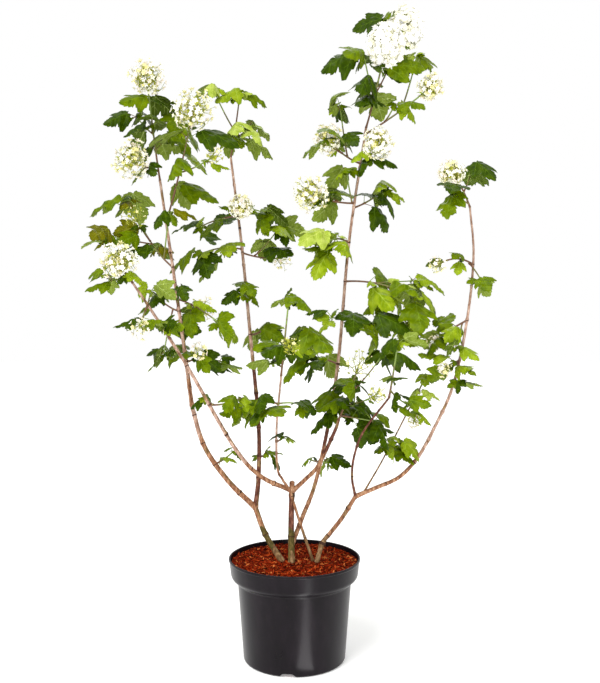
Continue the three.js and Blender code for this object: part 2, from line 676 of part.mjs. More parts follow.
/** Adds the blade's middle, and faces and edges a little larger than the blade, to test clearances on. */
function withFaces(leaf) {
  const rim = [[0, 0, 0], ...outlineOf(leaf)].map((point) => bladePoint(leaf, point, LEAF_MARGIN_SCALE));
  const middle = bladePoint(leaf, BLADE_CENTRE);
  const lift = (leaf.length * BLADE_THICKNESS) / 2 + LEAF_MARGIN;
  const faces = [];
  const edges = [];
  rim.forEach((corner, i) => {
    const next = rim[(i + 1) % rim.length];
    edges.push([corner, next], [middle, corner]);
    for (const side of [1, -1]) {
      faces.push([middle.clone().addScaledVector(leaf.normal, side * lift), corner, next]);
    }
  });
  return { ...leaf, middle, faces, edges };
}

/** Leaves in opposite pairs along every twig. One that would touch a limb, or reach into another mass, is turned
 *  and drawn in a few times and then left out. */
function growLeaves(shoots) {
  const leaves = [];
  const limbWires = Object.keys(limbs).flatMap((name) =>
    wiresAlong(limbCurves[name], (t) => limbRadius(name, t, limbCurves[name].getPoint(t).z), 14, name));
  const twigWires = shoots.flatMap((shoot) =>
    wiresAlong(shoot.curve, () => shoot.radii[0], shoot.pieces, shoot.mass));
  const heads = shoots.filter((shoot) => shoot.head).map((shoot) => shoot.head);

  const inTheWay = (leaf) =>
    limbWires.some((wire) => meetsWire(leaf, wire, LEAF_MARGIN) || stalkMeetsWire(leaf, wire)) ||
    twigWires.some((wire) =>
      meetsWire(leaf, wire, wire.owner === leaf.mass ? 0 : LEAF_MARGIN) ||
      (wire.owner !== leaf.mass && stalkMeetsWire(leaf, wire))) ||
    heads.some((head) => meetsHead(leaf, head, head.mass === leaf.mass ? 0.85 : 1.2)) ||
    leaves.some((other) => leavesCross(leaf, other));

  for (const shoot of shoots) {
    const last = shoot.head ? Math.min(Math.max(1 - (0.62 * shoot.across) / shoot.span, 0.3), 0.9) : 0.97;
    const first = Math.min(0.34, last * 0.55);
    for (let pair = 0; pair < shoot.pairs; pair += 1) {
      const step = shoot.pairs > 1 ? pair / (shoot.pairs - 1) : 1;
      const share = between([first, last], step);
      for (const side of [0, 1]) {
        const keys = [seedOf(shoot.mass), shoot.order, pair, side];
        const size = shoot.leaf * between(LEAF_SIZE, chance(...keys, 0));
        for (let attempt = 0; attempt < LEAF_TRIES; attempt += 1) {
          const sway = (chance(...keys, 6) - 0.5) * 30;
          const turn = shoot.roll + pair * 90 + side * 180 + sway + attempt * LEAF_TURN;
          const length = size * LEAF_SHRINK ** attempt;
          const leaf = makeLeaf(shoot, share, radians(turn), length, [...keys, attempt]);
          if (!inTheWay(leaf)) {
            leaves.push(leaf);
            break;
          }
        }
      }
    }
  }
  return leaves;
}

// ---------------------------------------------------------------- foliage as solids

/** A leaf as one solid: a three-sided stalk, whose root is sunk in the twig, runs into the base of its blade. */
function leafSolid(leaf) {
  const stalk = leaf.base.clone().sub(leaf.root).normalize();
  const section = (centre, tangent, radius) => {
    const [first, second] = crossAxes(tangent, leaf.across);
    return [[first, 1], [first, -1], [second, -1.2]].map(([axis, side]) =>
      centre.clone().addScaledVector(axis, side * radius));
  };
  const bend = stalk.clone().add(leaf.along).normalize();
  const roots = section(leaf.root, stalk, STALK_ROOT_RADIUS);
  const [left, right, under] = section(leaf.base, bend, STALK_RADIUS);
  const rim = outlineOf(leaf).map((point) => bladePoint(leaf, point));
  const middle = bladePoint(leaf, BLADE_CENTRE);
  const half = (leaf.length * BLADE_THICKNESS) / 2;
  const top = middle.clone().addScaledVector(leaf.normal, half);
  const bottom = middle.clone().addScaledVector(leaf.normal, -half);

  const faces = [];
  const edge = [left, ...rim, right];
  for (let i = 0; i + 1 < edge.length; i += 1) {
    faces.push([edge[i], edge[i + 1], top], [edge[i + 1], edge[i], bottom]);
  }
  faces.push([right, left, top], [left, under, bottom], [under, right, bottom]);
  const ends = [[left, roots[0]], [right, roots[1]], [under, roots[2]]];
  ends.forEach(([near, far], i) => {
    const [nextNear, nextFar] = ends[(i + 1) % ends.length];
    faces.push([near, nextNear, nextFar], [near, nextFar, far]);
  });
  faces.push(roots);
  return solidOf(new THREE.BufferGeometry().setFromPoints(faces.flat()));
}

function twigSolid(shoot) {
  return bentTube(shoot.curve, (t) => between(shoot.radii, t), TWIG_SIDES, shoot.pieces);
}

/** A round head of blossom with an uneven surface. */
function headSolid(head) {
  const ball = mergeVertices(HEADS[head.kind].clone().deleteAttribute('normal').deleteAttribute('uv'));
  const places = ball.attributes.position;
  for (let i = 0; i < places.count; i += 1) {
    const radius = (head.across / 2) * (1 - HEAD_ROUGHNESS * chance(seedOf(head.mass), i));
    const point = new THREE.Vector3().fromBufferAttribute(places, i).setLength(radius).add(head.centre);
    places.setXYZ(i, point.x, point.y, point.z);
  }
  return solidOf(ball);
}

/** All that grows in one mass, fused, with its stem's foot clear of the limb. */
function massSolid(mass, shoots, leaves) {
  const own = shoots.filter((shoot) => shoot.mass === mass);
  const pieces = own.map(twigSolid);
  for (const { head } of own) {
    if (head) pieces.push(headSolid(head));
  }
  for (const leaf of leaves) {
    if (leaf.mass === mass) pieces.push(leafSolid(leaf));
  }
  return seatOn(wasm.Manifold.union(pieces), [own[0].limb]);
}

// ---------------------------------------------------------------- the plant

const plastic = () => new THREE.MeshStandardMaterial({ color: 0x2b2b2e, roughness: 0.45, metalness: 0 });
const mulch = () => new THREE.MeshStandardMaterial({ color: 0x7a3a1c, roughness: 0.95, metalness: 0 });
const bark = () => new THREE.MeshStandardMaterial({ color: 0xa98468, roughness: 0.8, metalness: 0 });
const foliage = () => new THREE.MeshStandardMaterial({ color: 0x5f8f2e, roughness: 0.6, metalness: 0 });

const plant = new THREE.Group();

function addNode(name, solid, material) {
  const mesh = new THREE.Mesh(geometryOf(mainPiece(solid.simplify(SLIVER))), material);
  mesh.name = name;
  plant.add(mesh);
}

addNode('pot', potSolid(), plastic());
addNode('growing_medium', mediumSolid(), mulch());

for (const [name, { on }] of Object.entries(limbs)) {
  const solid = on ? seatOn(limbSolid(name), on) : mainPiece(cutAtGround(limbSolid(name)));
  addNode(name, solid, bark());
}

const shoots = growTwigs();
const leaves = growLeaves(shoots);
for (const mass of Object.keys(masses)) {
  addNode(`${mass}_foliage`, massSolid(mass, shoots, leaves), foliage());
}

export default plant;
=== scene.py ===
"""A snowball viburnum in a black nursery pot, with bark mulch, barked stems, leafy shoots and white blossom.

Sizes are millimetres, as in the solids, and become metres when a mesh is made. +Z is up, -Y is the plant's
front, and the origin is the centre of the pot's flat underside.
"""

import json
import math
from types import SimpleNamespace

import bpy
import numpy as np
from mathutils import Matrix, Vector, geometry, noise

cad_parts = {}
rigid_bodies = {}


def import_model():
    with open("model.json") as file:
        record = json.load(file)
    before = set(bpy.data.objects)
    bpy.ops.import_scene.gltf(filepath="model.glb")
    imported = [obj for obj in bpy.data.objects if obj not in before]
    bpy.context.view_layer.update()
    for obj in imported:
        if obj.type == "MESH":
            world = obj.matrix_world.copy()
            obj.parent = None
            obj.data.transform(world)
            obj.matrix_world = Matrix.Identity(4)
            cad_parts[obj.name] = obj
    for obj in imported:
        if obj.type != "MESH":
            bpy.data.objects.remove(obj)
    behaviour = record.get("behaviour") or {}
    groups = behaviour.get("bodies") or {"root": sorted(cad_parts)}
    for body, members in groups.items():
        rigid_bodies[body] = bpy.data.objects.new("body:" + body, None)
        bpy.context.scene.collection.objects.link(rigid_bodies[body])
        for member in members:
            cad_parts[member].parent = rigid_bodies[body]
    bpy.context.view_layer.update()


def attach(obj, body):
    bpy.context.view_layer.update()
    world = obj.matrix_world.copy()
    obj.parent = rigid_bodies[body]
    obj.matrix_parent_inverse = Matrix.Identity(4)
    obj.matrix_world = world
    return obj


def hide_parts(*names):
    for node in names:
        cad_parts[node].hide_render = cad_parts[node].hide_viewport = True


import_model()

MM = 0.001  # metres

# ---------------------------------------------------------------- camera, light and floor

CAMERA_PLACE = (11.8, -1897, 778)
CAMERA_PITCH = 3  # degrees under the level
PHOTO_HEIGHT = 683  # pixels, the long side
FOCAL_PIXELS = 900

FLOOR_RADIUS = 9000
FLOOR_SIDES = 64
FLOOR_DROP = 0.2  # under the pot's foot
FLOOR_GLOW = 0.22  # of a light table


def add_object(name, data):
    """A new object in the scene."""
    made = bpy.data.objects.new(name, data)
    bpy.context.scene.collection.objects.link(made)
    return made


def set_values(node, **values):
    """Constants for a node's sockets. An underscore stands for a blank in a socket's name."""
    for socket, value in values.items():
        node.inputs[socket.replace("_", " ")].default_value = value
    return node


def add_camera():
    data = bpy.data.cameras.new("camera")
    data.lens = data.sensor_width * FOCAL_PIXELS / PHOTO_HEIGHT
    camera = add_object("camera", data)
    camera.location = Vector(CAMERA_PLACE) * MM
    camera.rotation_euler = (math.radians(90 - CAMERA_PITCH), 0, 0)
    bpy.context.scene.camera = camera


def add_light(name, kind, place, aim, power):
    """A light that shines from a place towards an aim."""
    data = bpy.data.lights.new(name, kind)
    data.energy = power
    light = add_object(name, data)
    light.rotation_euler = (Vector(place) - Vector(aim)).to_track_quat("Z", "Y").to_euler()
    return light


def add_softbox(name, place, width, height, power, aim=(0, 0, 750), sheen_only=False):
    """A softbox that isn't seen itself. One for sheen only lights nothing but glossy surfaces."""
    light = add_light(name, "AREA", place, aim, power)
    light.location = Vector(place) * MM
    light.data.shape = "RECTANGLE"
    light.data.size = width * MM
    light.data.size_y = height * MM
    light.visible_camera = False
    light.visible_diffuse = not sheen_only


def add_sun(name, place, power, spread):
    """A far softbox, `spread` degrees wide, that shines from a place towards the origin."""
    sun = add_light(name, "SUN", place, (0, 0, 0), power)
    sun.data.angle = math.radians(spread)


def add_sky(seen, shed):
    """A white studio: how bright its walls are seen, and how much light they shed."""
    world = bpy.data.worlds.new("studio")
    world.use_nodes = True
    nodes, links = world.node_tree.nodes, world.node_tree.links
    mix = nodes.new("ShaderNodeMixShader")
    links.new(nodes.new("ShaderNodeLightPath").outputs["Is Camera Ray"], mix.inputs[0])
    backgrounds = nodes["Background"], nodes.new("ShaderNodeBackground")
    for socket, background, strength in zip((1, 2), backgrounds, (shed, seen)):
        set_values(background, Color=(1, 1, 1, 1), Strength=strength)
        links.new(background.outputs[0], mix.inputs[socket])
    links.new(mix.outputs[0], nodes["World Output"].inputs["Surface"])
    bpy.context.scene.world = world


add_camera()
add_sun("key", place=(-0.62, -0.85, 1.25), power=2.1, spread=30)
add_softbox("front", place=(440, -2400, 700), width=140, height=1800, power=24, aim=(0, 0, 200))
add_softbox(
    "strip", place=(97, -270, 24), width=48, height=330, power=0.3, aim=(25, -115, 1500), sheen_only=True,
)
add_softbox("back", place=(300, 2200, 2600), width=1800, height=1800, power=22)
add_sky(seen=1.0, shed=0.62)
bpy.context.scene.view_settings.view_transform = "Standard"

# ---------------------------------------------------------------- helpers

UP = np.array((0, 0, 1.0))
END_BULGE = 0.5  # how far a tube's ends stand out, as a share of its radius


def unit(vector):
    return vector / np.linalg.norm(vector, axis=-1, keepdims=True)


def between(pair, share):
    return pair[0] + (pair[1] - pair[0]) * share


def ease(low, high, values):
    """0 below low, 1 above high and smooth between them."""
    share = np.clip((values - low) / (high - low), 0, 1)
    return share * share * (3 - 2 * share)


def dot(a, b):
    return (a * b).sum(-1)


def swell(away, width):
    """A smooth bump: 1 where `away` is 0, and near 0 beyond twice the width."""
    return np.exp(-((away / width) ** 2))


def chance(*keys):
    """A number from 0 to 1 that depends only on its whole-number keys."""
    value = 2166136261
    for key in keys:
        value = ((value ^ key) * 16777619) & 0xFFFFFFFF
        value = ((value ^ (value >> 15)) * 2246822519) & 0xFFFFFFFF
        value ^= value >> 13
    return value / 4294967296


def scatter(keys, *numbers):
    """Numbers from -0.5 to 0.5, one for each further key."""
    return np.array([chance(*keys, number) - 0.5 for number in numbers])


def seed_of(name):
    """A whole number made from a name."""
    seed = 7
    for letter in name:
        seed = (seed * 31 + ord(letter)) % 1000003
    return seed


def grain(points, size):
    """Smooth noise from -1 to 1 at each point, in waves about `size` mm long."""
    values = [noise.noise(Vector(point)) for point in (points * (1 / size)).reshape(-1, 3)]
    return np.reshape(values, points.shape[:-1])


def new_mesh(name, corners, faces, *materials):
    mesh = bpy.data.meshes.new(name)
    mesh.from_pydata((np.asarray(corners) * MM).tolist(), [], faces)
    for surface in materials:
        mesh.materials.append(surface)
    return mesh


class Piece:
    """A mesh in the making: corners in millimetres, and faces that each take one of its materials."""

    def __init__(self, name, slot, *materials):
        self.name = name
        self.slot = slot
        self.materials = materials
        self.corners = []
        self.faces = []
        self.kinds = []
        self.first = self.count = 0

    def add(self, corners, faces, kind=0):
        """Faces are rows of corner numbers. A kind is a material's place in the list, for all or for each."""
        self.corners.append(np.asarray(corners, float))
        self.first = self.count
        self.count += len(corners)
        self.add_faces(faces, kind)

    def add_faces(self, faces, kind=0):
        """More faces between the corners that were added last."""
        faces = np.asarray(faces)
        self.faces.append(faces + self.first)
        self.kinds.append(np.broadcast_to(kind, len(faces)))

    def make(self, *nodes, sharp=None):
        """The finished object, which stands for the nodes. Edges over `sharp` degrees stay crisp."""
        faces = [face for block in self.faces for face in block.tolist()]
        mesh = new_mesh(self.name, np.concatenate(self.corners), faces, *self.materials)
        mesh.polygons.foreach_set("material_index", np.concatenate(self.kinds).astype(np.int32))
        mesh.polygons.foreach_set("use_smooth", np.ones(len(mesh.polygons), dtype=bool))
        if sharp:
            mesh.set_sharp_from_angle(angle=math.radians(sharp))
        mesh.update()
        piece = add_object(self.name, mesh)
        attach(piece, "root")
        if nodes:
            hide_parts(*nodes)
        return piece


def even_turns(count):
    """Evenly spaced angles round a circle."""
    return np.arange(count) * 2 * math.pi / count


def circle(radius, height, sides):
    """A level ring of corners about the axis. Columns of radii and heights give one ring for each."""
    turn = even_turns(sides)
    return np.stack(np.broadcast_arrays(radius * np.cos(turn), radius * np.sin(turn), height + 0 * turn), -1)


def ring_faces(rings, sides):
    """The four-sided faces of a closed tube's wall."""
    ring = np.arange(rings - 1)[:, None] * sides
    side = np.arange(sides)[None]
    after = (side + 1) % sides
    return np.stack([ring + side, ring + after, ring + sides + after, ring + sides + side], -1).reshape(-1, 4)


def end_faces(rings, sides):
    """The triangles that close a tube's two ends, with hubs that follow its rings."""
    here = np.arange(sides)
    after = (here + 1) % sides
    hub = np.full(sides, rings * sides)
    last = (rings - 1) * sides
    start = np.stack([hub, after, here], -1)
    end = np.stack([hub + 1, last + here, last + after], -1)
    return np.concatenate([start, end])


def prism_faces(rings, sides):
    """A closed tube's wall and its two flat ends."""
    last = (rings - 1) * sides
    return ring_faces(rings, sides).tolist() + [list(range(sides))[::-1], list(range(last, last + sides))]


def add_rings(piece, rings, hubs, kind=0):
    """A closed body: rings of corners between two hubs."""
    count, sides = rings.shape[:2]
    piece.add(np.concatenate([rings.reshape(-1, 3), hubs]), ring_faces(count, sides), kind)
    piece.add_faces(end_faces(count, sides), np.ravel(kind)[-1])


def path_frames(points):
    """The direction along a path at each point, and two directions square to it that don't twist."""
    along = unit(np.gradient(points, axis=0))
    first = np.cross(along[0], (0.31, 0.52, 0.79))
    firsts = []
    for direction in along:
        first = first - direction * dot(first, direction)
        first = first / np.linalg.norm(first)
        firsts.append(first)
    firsts = np.array(firsts)
    return along, firsts, np.cross(along, firsts)


def add_tube(piece, points, radii, sides, kind=0):
    """A round tube along a path. Radii are one for each point, or one for each corner of each ring."""
    points = np.asarray(points, float)
    along, first, second = path_frames(points)
    turn = even_turns(sides)
    out = np.cos(turn)[None, :, None] * first[:, None] + np.sin(turn)[None, :, None] * second[:, None]
    radii = np.asarray(radii, float).reshape(len(points), -1)
    reach = radii[[0, -1]].mean(1) * END_BULGE
    hubs = [points[0] - along[0] * reach[0], points[-1] + along[-1] * reach[1]]
    add_rings(piece, points[:, None] + out * radii[:, :, None], hubs, kind)


# ---------------------------------------------------------------- materials

RAMP_START, RAMP_LENGTH = 0.3, 0.4  # the part of the noise that a surface's tints are spread over


def linear(colour):
    """A colour as seen, from 0 to 255, as light."""
    return tuple(((value / 255 + 0.055) / 1.055) ** 2.4 if value > 10 else value / 3295 for value in colour)


def material(
    name, tints, roughness, grain_size, stretch=(1, 1, 1), bump=0.0, bump_size=None, detail=4, **constants,
):
    """A surface that wanders between tints in a grain of that size, in mm, with a relief of `bump` mm."""
    made = bpy.data.materials.new(name)
    made.use_nodes = True
    nodes, links = made.node_tree.nodes, made.node_tree.links
    shader = set_values(nodes["Principled BSDF"], **constants)
    mapping = set_values(nodes.new("ShaderNodeMapping"), Scale=stretch)
    links.new(nodes.new("ShaderNodeTexCoord").outputs["Object"], mapping.inputs["Vector"])

    def noise_node(size, rough):
        node = nodes.new("ShaderNodeTexNoise")
        set_values(node, Scale=1 / (size * MM), Detail=detail, Roughness=rough)
        links.new(mapping.outputs["Vector"], node.inputs["Vector"])
        return node.outputs["Fac"]

    colour_noise = noise_node(grain_size, 0.6)
    ramp = nodes.new("ShaderNodeValToRGB")
    stops = ramp.color_ramp.elements
    while len(stops) < len(tints):
        stops.new(0.5)
    for index, tint in enumerate(tints):
        stops[index].position = RAMP_START + RAMP_LENGTH * index / (len(tints) - 1)
        stops[index].color = (*linear(tint), 1)
    links.new(colour_noise, ramp.inputs["Fac"])
    links.new(ramp.outputs["Color"], shader.inputs["Base Color"])

    gloss = set_values(nodes.new("ShaderNodeMapRange"), To_Min=roughness[0], To_Max=roughness[1])
    links.new(colour_noise, gloss.inputs["Value"])
    links.new(gloss.outputs["Result"], shader.inputs["Roughness"])

    if bump:
        relief = set_values(nodes.new("ShaderNodeBump"), Strength=1, Distance=bump * MM)
        links.new(noise_node(bump_size or grain_size, 0.5), relief.inputs["Height"])
        links.new(relief.outputs["Normal"], shader.inputs["Normal"])
    return made


def family(suffix, tint_sets, *look, **details):
    """Materials that differ only in their tints, by name."""
    return {name: material(name + suffix, tints, *look, **details) for name, tints in tint_sets.items()}


PLASTIC = material(
    "black_plastic", [(14, 10, 14), (20, 15, 20), (29, 22, 28)], (0.24, 0.34), 45,
    stretch=(1, 1, 0.35), bump=0.05, bump_size=1.4, Specular_IOR_Level=0.14,
)

MULCH_TINTS = {
    "mulch_black": [(30, 5, 1), (50, 10, 2)],
    "mulch_brown": [(74, 16, 2), (102, 24, 4)],
    "mulch_red": [(118, 27, 4), (144, 38, 7)],
    "mulch_orange": [(160, 54, 15), (186, 76, 26)],
    "mulch_tan": [(194, 100, 46), (218, 136, 74)],
}
MULCH = family("", MULCH_TINTS, (0.8, 1), 3, bump=0.3, bump_size=1.2, Specular_IOR_Level=0.05)
SOIL = material(
    "mulch_dust", [(34, 8, 2), (88, 23, 4), (124, 40, 8)], (0.85, 1), 4,
    bump=1.2, bump_size=2.5, Specular_IOR_Level=0.05,
)

BARK_TINTS = {
    "moss": [(48, 44, 10), (84, 72, 28), (126, 104, 56)],
    "grey": [(74, 50, 28), (126, 96, 62), (178, 146, 106)],
    "tan": [(86, 48, 30), (148, 102, 72), (202, 160, 126)],
    "red": [(56, 26, 18), (98, 56, 42), (146, 98, 78)],
    "pink": [(112, 80, 64), (174, 139, 120), (220, 191, 173)],
    "node": [(46, 26, 16), (78, 50, 34)],
}
BARK = family(
    "_bark", BARK_TINTS, (0.55, 0.8), 5,
    stretch=(1, 1, 0.3), bump=0.45, bump_size=2, detail=7, Specular_IOR_Level=0.2,
)

SHOOT_TINTS = {
    "brown": [(92, 58, 40), (126, 88, 58)],
    "olive": [(98, 96, 44), (128, 122, 62)],
    "green": [(112, 136, 54), (142, 164, 76)],
}
SHOOT = family("_shoot", SHOOT_TINTS, (0.45, 0.65), 5)

LEAF_TINTS = {
    "dark": [(38, 59, 0), (52, 74, 0), (68, 90, 0)],
    "mid": [(73, 97, 0), (95, 116, 0), (116, 136, 2)],
    "light": [(110, 135, 8), (132, 154, 18), (156, 175, 38)],
    "young": [(142, 165, 44), (165, 184, 70), (190, 205, 102)],
    "olive": [(84, 88, 1), (104, 104, 4), (124, 122, 12)],
}
VEIN_TINTS = {
    "dark": [(72, 98, 14), (82, 108, 20)],
    "mid": [(106, 132, 26), (116, 142, 34)],
    "light": [(148, 172, 54), (158, 180, 64)],
    "young": [(188, 202, 92), (196, 208, 104)],
    "olive": [(128, 132, 38), (138, 140, 48)],
}
LEAF = family("_leaf", LEAF_TINTS, (0.3, 0.44), 16, bump=0.35, bump_size=7, Specular_IOR_Level=0.06)
VEIN = family("_vein", VEIN_TINTS, (0.5, 0.6), 8, Specular_IOR_Level=0.05)
UNDERSIDE_LOOK = {"roughness": (0.6, 0.75), "grain_size": 14, "Specular_IOR_Level": 0.1}
UNDERSIDE = material("leaf_underside", [(108, 128, 36), (124, 142, 50), (138, 156, 64)], **UNDERSIDE_LOOK)
UNDERSIDE_DARK = material("dark_leaf_underside", [(76, 96, 18), (92, 112, 30)], **UNDERSIDE_LOOK)
RIB = material("leaf_rib", [(150, 168, 88), (164, 180, 102)], (0.55, 0.65), 6, Specular_IOR_Level=0.1)

PETAL_TINTS = {
    "white": [(248, 247, 240), (253, 252, 248), (255, 255, 254)],
    "ivory": [(246, 242, 216), (250, 248, 230), (253, 252, 242)],
    "cream": [(220, 212, 138), (236, 229, 172), (246, 242, 204)],
    "blush": [(238, 222, 206), (246, 236, 222), (252, 246, 238)],
    "green": [(146, 152, 34), (172, 176, 56), (200, 200, 90)],
}
PAINTED_PETAL_GLOW = 0.1  # painted glow: an emission that brightens every petal, its shaded side too, as a share of full white
PETAL = {
    name: material(
        name + "_petal", tints, (0.6, 0.75), 6, Specular_IOR_Level=0.1,
        # painted glow, in each petal's own middle tint
        Emission_Color=(*linear(tints[1]), 1), Emission_Strength=PAINTED_PETAL_GLOW,
    )
    for name, tints in PETAL_TINTS.items()
}
EYE = material("floret_eye", [(176, 164, 44), (196, 186, 66)], (0.5, 0.6), 2)
STALK = material("flower_stalk", [(128, 138, 36), (160, 166, 60)], (0.5, 0.65), 6)
FLOOR = material(
    "pale_floor", [(251, 251, 250), (254, 254, 253)], (0.8, 0.9), 400, Specular_IOR_Level=0.1,
    Emission_Color=(1, 1, 1, 1), Emission_Strength=FLOOR_GLOW,
)

# ---------------------------------------------------------------- pot

POT_HEIGHT = 218
RIM_RADIUS = 140
COLLAR_FOOT_RADIUS = 135
COLLAR_FOOT = 179  # height where the collar turns in
BODY_TOP_RADIUS = 121
BODY_TOP = 168
BODY_FOOT_RADIUS = 109
POT_WALL = 2.2
POT_FLOOR = 7
FLOOR_RISE = 4
PAD_RADIUS = 30
FOOT_RING_WIDTH = 9
FOOT_ROUND = 5
POT_SIDES = 144
POT_CREASE = 32  # degrees, over which an edge stays crisp
LIP_FOOT, LIP_EDGE = POT_HEIGHT - 5.5, POT_HEIGHT - 4.6  # where the rim's lip starts and where it is full
LIP_DEPTH = 1.2  # how far it stands out
RIM_THICKNESS = 3.4

NOTCH_COUNT = 3
NOTCH_HEIGHT = 8
NOTCH_TOP_WIDTH = 20
NOTCH_FOOT_WIDTH = 38
NOTCH_ROUND = 4
NOTCH_TURN = -97  # degrees
DRAIN_COUNT = 6
DRAIN_RADIUS = 7
DRAIN_CIRCLE = 66
DRAIN_SIDES = 24
CUT_PAST = 3  # how far a cutter stands out of what it cuts
NOTCH_DEPTH = FOOT_RING_WIDTH + FOOT_ROUND + 4  # through the whole foot ring

GROUND = 212
GROUND_EDGE = 209
GROUND_FLAT_RADIUS = 84


def pot_radius(height):
    """The radius of the pot's outer wall at a height."""
    if height >= COLLAR_FOOT:
        share = (height - COLLAR_FOOT) / (POT_HEIGHT - COLLAR_FOOT)
        return between((COLLAR_FOOT_RADIUS, RIM_RADIUS - 1), share)
    if height >= BODY_TOP:
        return between((BODY_TOP_RADIUS, COLLAR_FOOT_RADIUS), (height - BODY_TOP) / (COLLAR_FOOT - BODY_TOP))
    return between((BODY_FOOT_RADIUS, BODY_TOP_RADIUS), height / BODY_TOP)


def rounded(stations, steps=5):
    """A profile from stations of radius, height and rounding, which is how far back each corner starts."""
    points = np.array([station[:2] for station in stations], float)
    profile = [points[0]]
    for before, here, after, (_, _, rounding) in zip(points, points[1:], points[2:], stations[1:]):
        reach = min(rounding, np.linalg.norm(before - here) / 2, np.linalg.norm(after - here) / 2)
        start = here + unit(before - here) * reach
        end = here + unit(after - here) * reach
        for share in np.linspace(0, 1, steps if rounding else 1):
            profile.append(between((between((start, here), share), between((here, end), share)), share))
    return [*profile, points[-1]]


def add_turned(piece, profile, sides):
    """A turned body about the vertical axis. The profile starts and ends on the axis."""
    inner = np.array(profile[1:-1])
    rings = circle(inner[:, :1], inner[:, 1:], sides)
    add_rings(piece, rings, [(0, 0, profile[0][1]), (0, 0, profile[-1][1])])


def cut_away(target, cutters):
    """Takes the cutters out of the target's mesh, and removes them."""
    for cutter in cutters:
        modifier = target.modifiers.new("cut", "BOOLEAN")
        modifier.operation = "DIFFERENCE"
        modifier.solver = "EXACT"
        modifier.object = cutter
    bpy.context.view_layer.update()
    shaped = bpy.data.meshes.new_from_object(target.evaluated_get(bpy.context.evaluated_depsgraph_get()))
    target.modifiers.clear()
    target.data = shaped
    for cutter in cutters:
        bpy.data.objects.remove(cutter)


def cutter(corners, sides):
    """A prism between two rings of corners, to be cut away from something."""
    return add_object("cutter", new_mesh("cutter", corners, prism_faces(2, sides)))


def notch_cutter(turn):
    """A bar with the notch's rounded outline, which points out through the foot ring."""
    top, foot = NOTCH_TOP_WIDTH / 2, NOTCH_FOOT_WIDTH / 2
    widening = (foot - top) / NOTCH_HEIGHT
    outline = rounded([
        (-foot - widening, -1, 0),
        (-top, NOTCH_HEIGHT, NOTCH_ROUND),
        (top, NOTCH_HEIGHT, NOTCH_ROUND),
        (foot + widening, -1, 0),
    ])
    far = BODY_FOOT_RADIUS + CUT_PAST
    ring = np.array([(0, side, height) for side, height in outline[::-1]])
    cos, sin = math.cos(turn), math.sin(turn)
    turned = np.array([(cos, sin, 0), (-sin, cos, 0), (0, 0, 1)])
    corners = np.concatenate([ring + (far - NOTCH_DEPTH, 0, 0), ring + (far, 0, 0)])
    return cutter(corners @ turned, len(outline))


def drain_cutter(turn):
    """A round bar through the pot's floor."""
    ring = circle(DRAIN_RADIUS, 0, DRAIN_SIDES) + DRAIN_CIRCLE * np.array((math.cos(turn), math.sin(turn), 0))
    return cutter(np.concatenate([ring - (0, 0, 2), ring + (0, 0, POT_FLOOR + CUT_PAST)]), DRAIN_SIDES)


def make_pot():
    ring_inner = BODY_FOOT_RADIUS - FOOT_ROUND - FOOT_RING_WIDTH
    outside = [
        (0, 0, 0),
        (PAD_RADIUS, 0, 0.6),
        (PAD_RADIUS + 2, FLOOR_RISE, 1),
        (ring_inner, FLOOR_RISE, 1),
        (ring_inner + 2, 0, 0.8),
        (BODY_FOOT_RADIUS - 0.4, 0, FOOT_ROUND * 1.5),
        (BODY_TOP_RADIUS, BODY_TOP, 3),
        (COLLAR_FOOT_RADIUS, COLLAR_FOOT, 6),
        (RIM_RADIUS - LIP_DEPTH, LIP_FOOT, 0.8),
        (RIM_RADIUS, LIP_EDGE, 0.7),
        (RIM_RADIUS, POT_HEIGHT, 1.4),
        (RIM_RADIUS - RIM_THICKNESS, POT_HEIGHT, 1.1),
    ]
    inside = [(pot_radius(z) - POT_WALL, z, 1.5) for z in (POT_HEIGHT - 5, COLLAR_FOOT, BODY_TOP, POT_FLOOR)]
    body = Piece("pot_body", "pot", PLASTIC)
    add_turned(body, rounded([*outside, *inside, (0, POT_FLOOR, 0)]), POT_SIDES)
    pot = body.make("pot")
    notches = [notch_cutter(math.radians(NOTCH_TURN) + turn) for turn in even_turns(NOTCH_COUNT)]
    drains = [drain_cutter(turn) for turn in even_turns(DRAIN_COUNT)]
    cut_away(pot, notches + drains)
    pot.data.set_sharp_from_angle(angle=math.radians(POT_CREASE))


# ---------------------------------------------------------------- growing medium

MULCH_CLEAR = 0.6  # between the mulch and the pot's wall
MULCH_SIDES = 180
MULCH_RINGS = 54
MULCH_EYE = 2.5  # radius of the innermost ring
MULCH_LUMPS = [(2.4, 22, 0), (1.5, 7, 40)]  # height, length and shift of each layer of noise
CHIP_BED = 1.5  # how far the chips' bed lies under the medium's nominal top
CHIP_SEED = 41
CHIP_COUNT = 5600
CHIP_CLEAR = 1.2  # between the chips and the pot's wall
CHIP_SHARES = (0.14, 0.27, 0.34, 0.18, 0.07)  # of each tint
CHIP_LENGTH = (3.5, 17)
CHIP_SHORTNESS = 2.2  # over 1, more chips are short than long
CHIP_WIDTH = (0.1, 0.32)  # as a share of its length
CHIP_THICKNESS = (0.7, 2.2)
CHIP_TILT = 0.4  # radians, spread about the level
CHIP_LIFT = (-0.5, 1.8)
CHIP_BEND = 0.15  # of its width, spread of its sections' middles
CHIP_UNEVEN = (0.75, 1.1)
CHIP_SECTIONS = [(-0.5, 0.45), (-0.1, 1.0), (0.2, 0.9), (0.5, 0.3)]  # place along it, and girth
CHIP_CREASE = 35  # degrees


def mulch_height(x, y):
    """The uneven top of the mulch."""
    radius, edge = np.hypot(x, y), pot_radius(GROUND)
    fall = (GROUND - GROUND_EDGE) * np.clip((radius - GROUND_FLAT_RADIUS) / (edge - GROUND_FLAT_RADIUS), 0, 1)
    places = np.stack([x, y, 0 * x], -1)
    lumps = sum(height * grain(places + shift, length) for height, length, shift in MULCH_LUMPS)
    return GROUND - CHIP_BED - fall + lumps * (1 - ease(0.93, 1, radius / edge))


